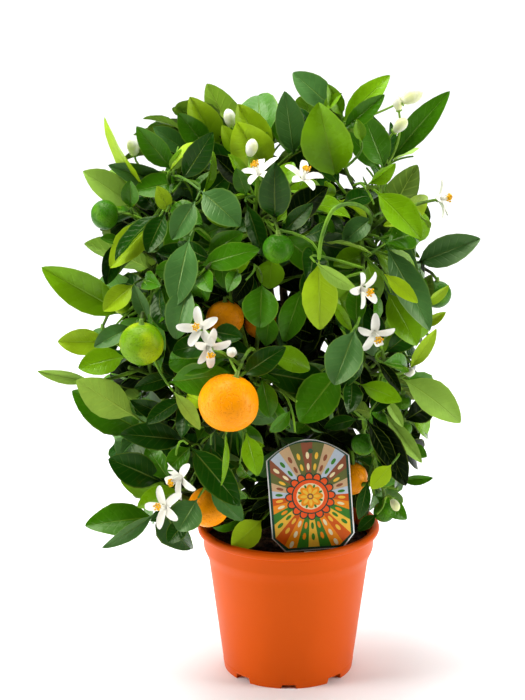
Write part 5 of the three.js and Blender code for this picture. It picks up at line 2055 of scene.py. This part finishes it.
class CALAMONDIN_OT_blossom(Step):
    """Makes the open flowers and the buds"""

    bl_idname = "calamondin.blossom"
    bl_label = "Blossom"

    def make(self, scene):
        look = scene.calamondin_blossom
        petals, buds, anthers, sepals = Heap(), Heap(), Heap(), Heap()
        for ball, (x, _, _, way) in zip(BALLS[len(FRUITS):], FLOWERS):
            way = unit(vec(*way) if way else vec(x * SIDEWAYS, 1, 0.2))
            self.flower(petals, anthers, sepals, ball.middle, way, seeded(SEED.blossom + ball.index))
        form, faces = form_of("uv_sphere", segments=16, ring_count=12, radius=1)
        for x, y, z, long, way in BUDS:
            self.bud(buds, sepals, form, faces, vec(x, y, z), long * 1.2, unit(vec(*way)))
        white = soft_material("petal", look.petal, shade(look.petal, 0.9), 0.5, 90.0)
        cream = soft_material("bud", look.bud, look.petal, 0.5, 90.0)
        yellow = soft_material("anther", look.anther, shade(look.anther, 0.75), 0.7)
        green = soft_material("sepal", look.sepal, shade(look.sepal, 1.2))
        for heap, name, finish in (
            (petals, "petals", white), (buds, "flower_buds", cream), (anthers, "anthers", yellow),
            (sepals, "sepals", green),
        ):
            dressed(heap.piece(name, finish), "foliage")

    def flower(self, petals, anthers, sepals, middle, way, chance):
        size = FLOWER.radius
        base = middle - way * 3
        for k in range(PETALS):
            long = size * (1.05 + 0.2 * chance())
            points, faces = petal_points(long, size * 0.47, 0.7 + 0.5 * chance(), 0.4 + 0.9 * chance())
            points = spun(points + vec(0.8, 0, 0), 2 * pi * (k + 0.45 * chance()) / PETALS)
            petals.add(turned_to(points, way) + base, faces)
        ahead = unit(way + jitter(chance, 0.5))
        reach = size * 0.56
        petals.tube(base + np.outer((0, 0.5, 0.9), ahead * reach), (1.9, 1.7, 2.0), 10)
        for k, angle in enumerate(turns(STAMENS)):
            spoke = vec(cos(angle), sin(angle), 0) * (1.9 if k % 2 else 1.2)
            foot = turned_to(spoke * 0.9, ahead) + base + ahead * reach * 0.85
            top = turned_to(spoke * (1.2 + 0.4 * chance()), ahead) + base
            top = top + ahead * reach * (1.05 + 0.2 * chance())
            petals.tube([foot, top], (0.45, 0.35), 4)
            anthers.tube([top, top + ahead * 0.9, top + ahead * 1.8], (0.5, 0.75, 0.4), 6)
        pistil = base + ahead * reach * 1.2
        petals.tube([base, pistil], (0.8, 0.6), 6)
        anthers.tube(pistil + np.outer((0, 0.7, 1.4), ahead), (0.6, 1.1, 0.7), 8)
        sepals.star(base - way * 0.8, way, 2.8, 1.2)
        sepals.tube([base, base - way * 4 - UP], (1.1, 0.9), 6)

    def bud(self, buds, sepals, form, faces, middle, long, way):
        """A plump bud, broadest above its middle and with a blunt point, on a stalk from the nearest twig."""
        share = (form[:, 2] + 1) / 2
        slim = 0.3 * long * (0.8 + 0.45 * share) * (1 - 0.25 * share ** 4)
        slim = slim * (1 + 0.05 * np.cos(5 * np.arctan2(form[:, 1], form[:, 0])))
        points = form * np.stack([slim, slim, np.full(len(form), long * 0.5)], axis=1)
        buds.add(turned_to(points, way) + middle, faces)
        base = middle - way * long * 0.46
        sepals.star(base, way, 0.24 * long, 1.6)
        tips = np.array([twig.curve.tip for twig in tree().twigs if twig.radii[0] >= TWIG.root])
        start = tips[nearest(tips, base - way * 8)]
        knee = base - way * norm(base - start) * 0.5
        sepals.tube(Bow(start, knee, base).along(8), np.linspace(1.0, 0.8, 8), 6)


# ---- Stage ----


PLANT = (0, 0, 0.25)
SOFTBOXES = (  # name, the setting for its power, and its place, size and target in metres
    ("left_box", "left", (-1.6, -0.45, 0.65), (0.6, 1.6), PLANT),
    ("right_box", "right", (1.6, -0.45, 0.6), (0.6, 1.6), PLANT),
    ("top_box", "top", (-0.25, 0.05, 1.4), (1.0, 1.0), PLANT),
    ("backdrop_box", "back", (0, 3.4, 2.6), (6.0, 4.6), (0, 3.4, 0)),
)


class CALAMONDIN_OT_stage(Step):
    """Sets the floor, the soft studio lights and the camera"""

    bl_idname = "calamondin.stage"
    bl_label = "Stage"

    def make(self, scene):
        look = scene.calamondin_stage
        self.floor(look)
        world = bpy.data.worlds.new("studio")
        world.use_nodes = True
        background = world.node_tree.nodes["Background"]
        background.inputs["Color"].default_value = (1, 1, 1, 1)
        background.inputs["Strength"].default_value = look.world
        scene.world = world
        for name, power, place, size, target in SOFTBOXES:
            self.softbox(name, getattr(look, power), place, size, target)
        data = bpy.data.cameras.new("front_camera")
        data.sensor_width = SENSOR
        data.lens = SENSOR * VIEW.focal / VIEW.high
        data.clip_end = 50
        camera = linked("front_camera", data)
        camera.location = Vector(VIEW.eye) * MM
        camera.rotation_euler = (pi / 2 - VIEW.pitch, 0, 0)
        scene.camera = camera
        scene.view_settings.view_transform = "Standard"

    def floor(self, look):
        floor = done(primitive("plane", size=30), "floor")
        finish = Finish("floor", Roughness=0.9)
        patches = finish.noise(finish.place(), 3.0)
        colour = finish.blend(patches, shade(look.floor, 0.99), look.floor)
        floor.data.materials.append(finish.made(Base_Color=colour))

    def softbox(self, name, power, place, size, target):
        light = bpy.data.lights.new(name, "AREA")
        light.shape = "RECTANGLE"
        light.size, light.size_y = size
        light.energy = power
        box = linked(name, light)
        box.location = place
        aim = Vector(target) - box.location
        box.rotation_euler = aim.to_track_quat("-Z", "Y").to_euler()


# ---- Add-on ----

STEPS = (
    CALAMONDIN_OT_pot, CALAMONDIN_OT_soil, CALAMONDIN_OT_label, CALAMONDIN_OT_wood, CALAMONDIN_OT_twigs,
    CALAMONDIN_OT_leaves, CALAMONDIN_OT_fruit, CALAMONDIN_OT_blossom, CALAMONDIN_OT_stage,
)


class CALAMONDIN_PT_panel(bpy.types.Panel):
    """Lists the steps that build the plant"""

    bl_idname = "CALAMONDIN_PT_panel"
    bl_label = "Calamondin"
    bl_space_type = "VIEW_3D"
    bl_region_type = "UI"
    bl_category = "Calamondin"

    def draw(self, context):
        for name, kind in GROUPS.items():
            box = self.layout.box()
            for prop in kind.__annotations__:
                box.prop(getattr(context.scene, name), prop)
        for step in STEPS:
            self.layout.operator(step.bl_idname)


CLASSES = (*GROUPS.values(), *STEPS, CALAMONDIN_PT_panel)


def register():
    for cls in CLASSES:
        bpy.utils.register_class(cls)
    for name, kind in GROUPS.items():
        setattr(bpy.types.Scene, name, PointerProperty(type=kind))


def unregister():
    for name in GROUPS:
        delattr(bpy.types.Scene, name)
    for cls in reversed(CLASSES):
        bpy.utils.unregister_class(cls)


def main():
    register()
    veins_group()
    mottle_group()
    for step in STEPS:
        getattr(bpy.ops.calamondin, step.bl_idname.split(".")[1])()


if __name__ == "__main__":
    main()
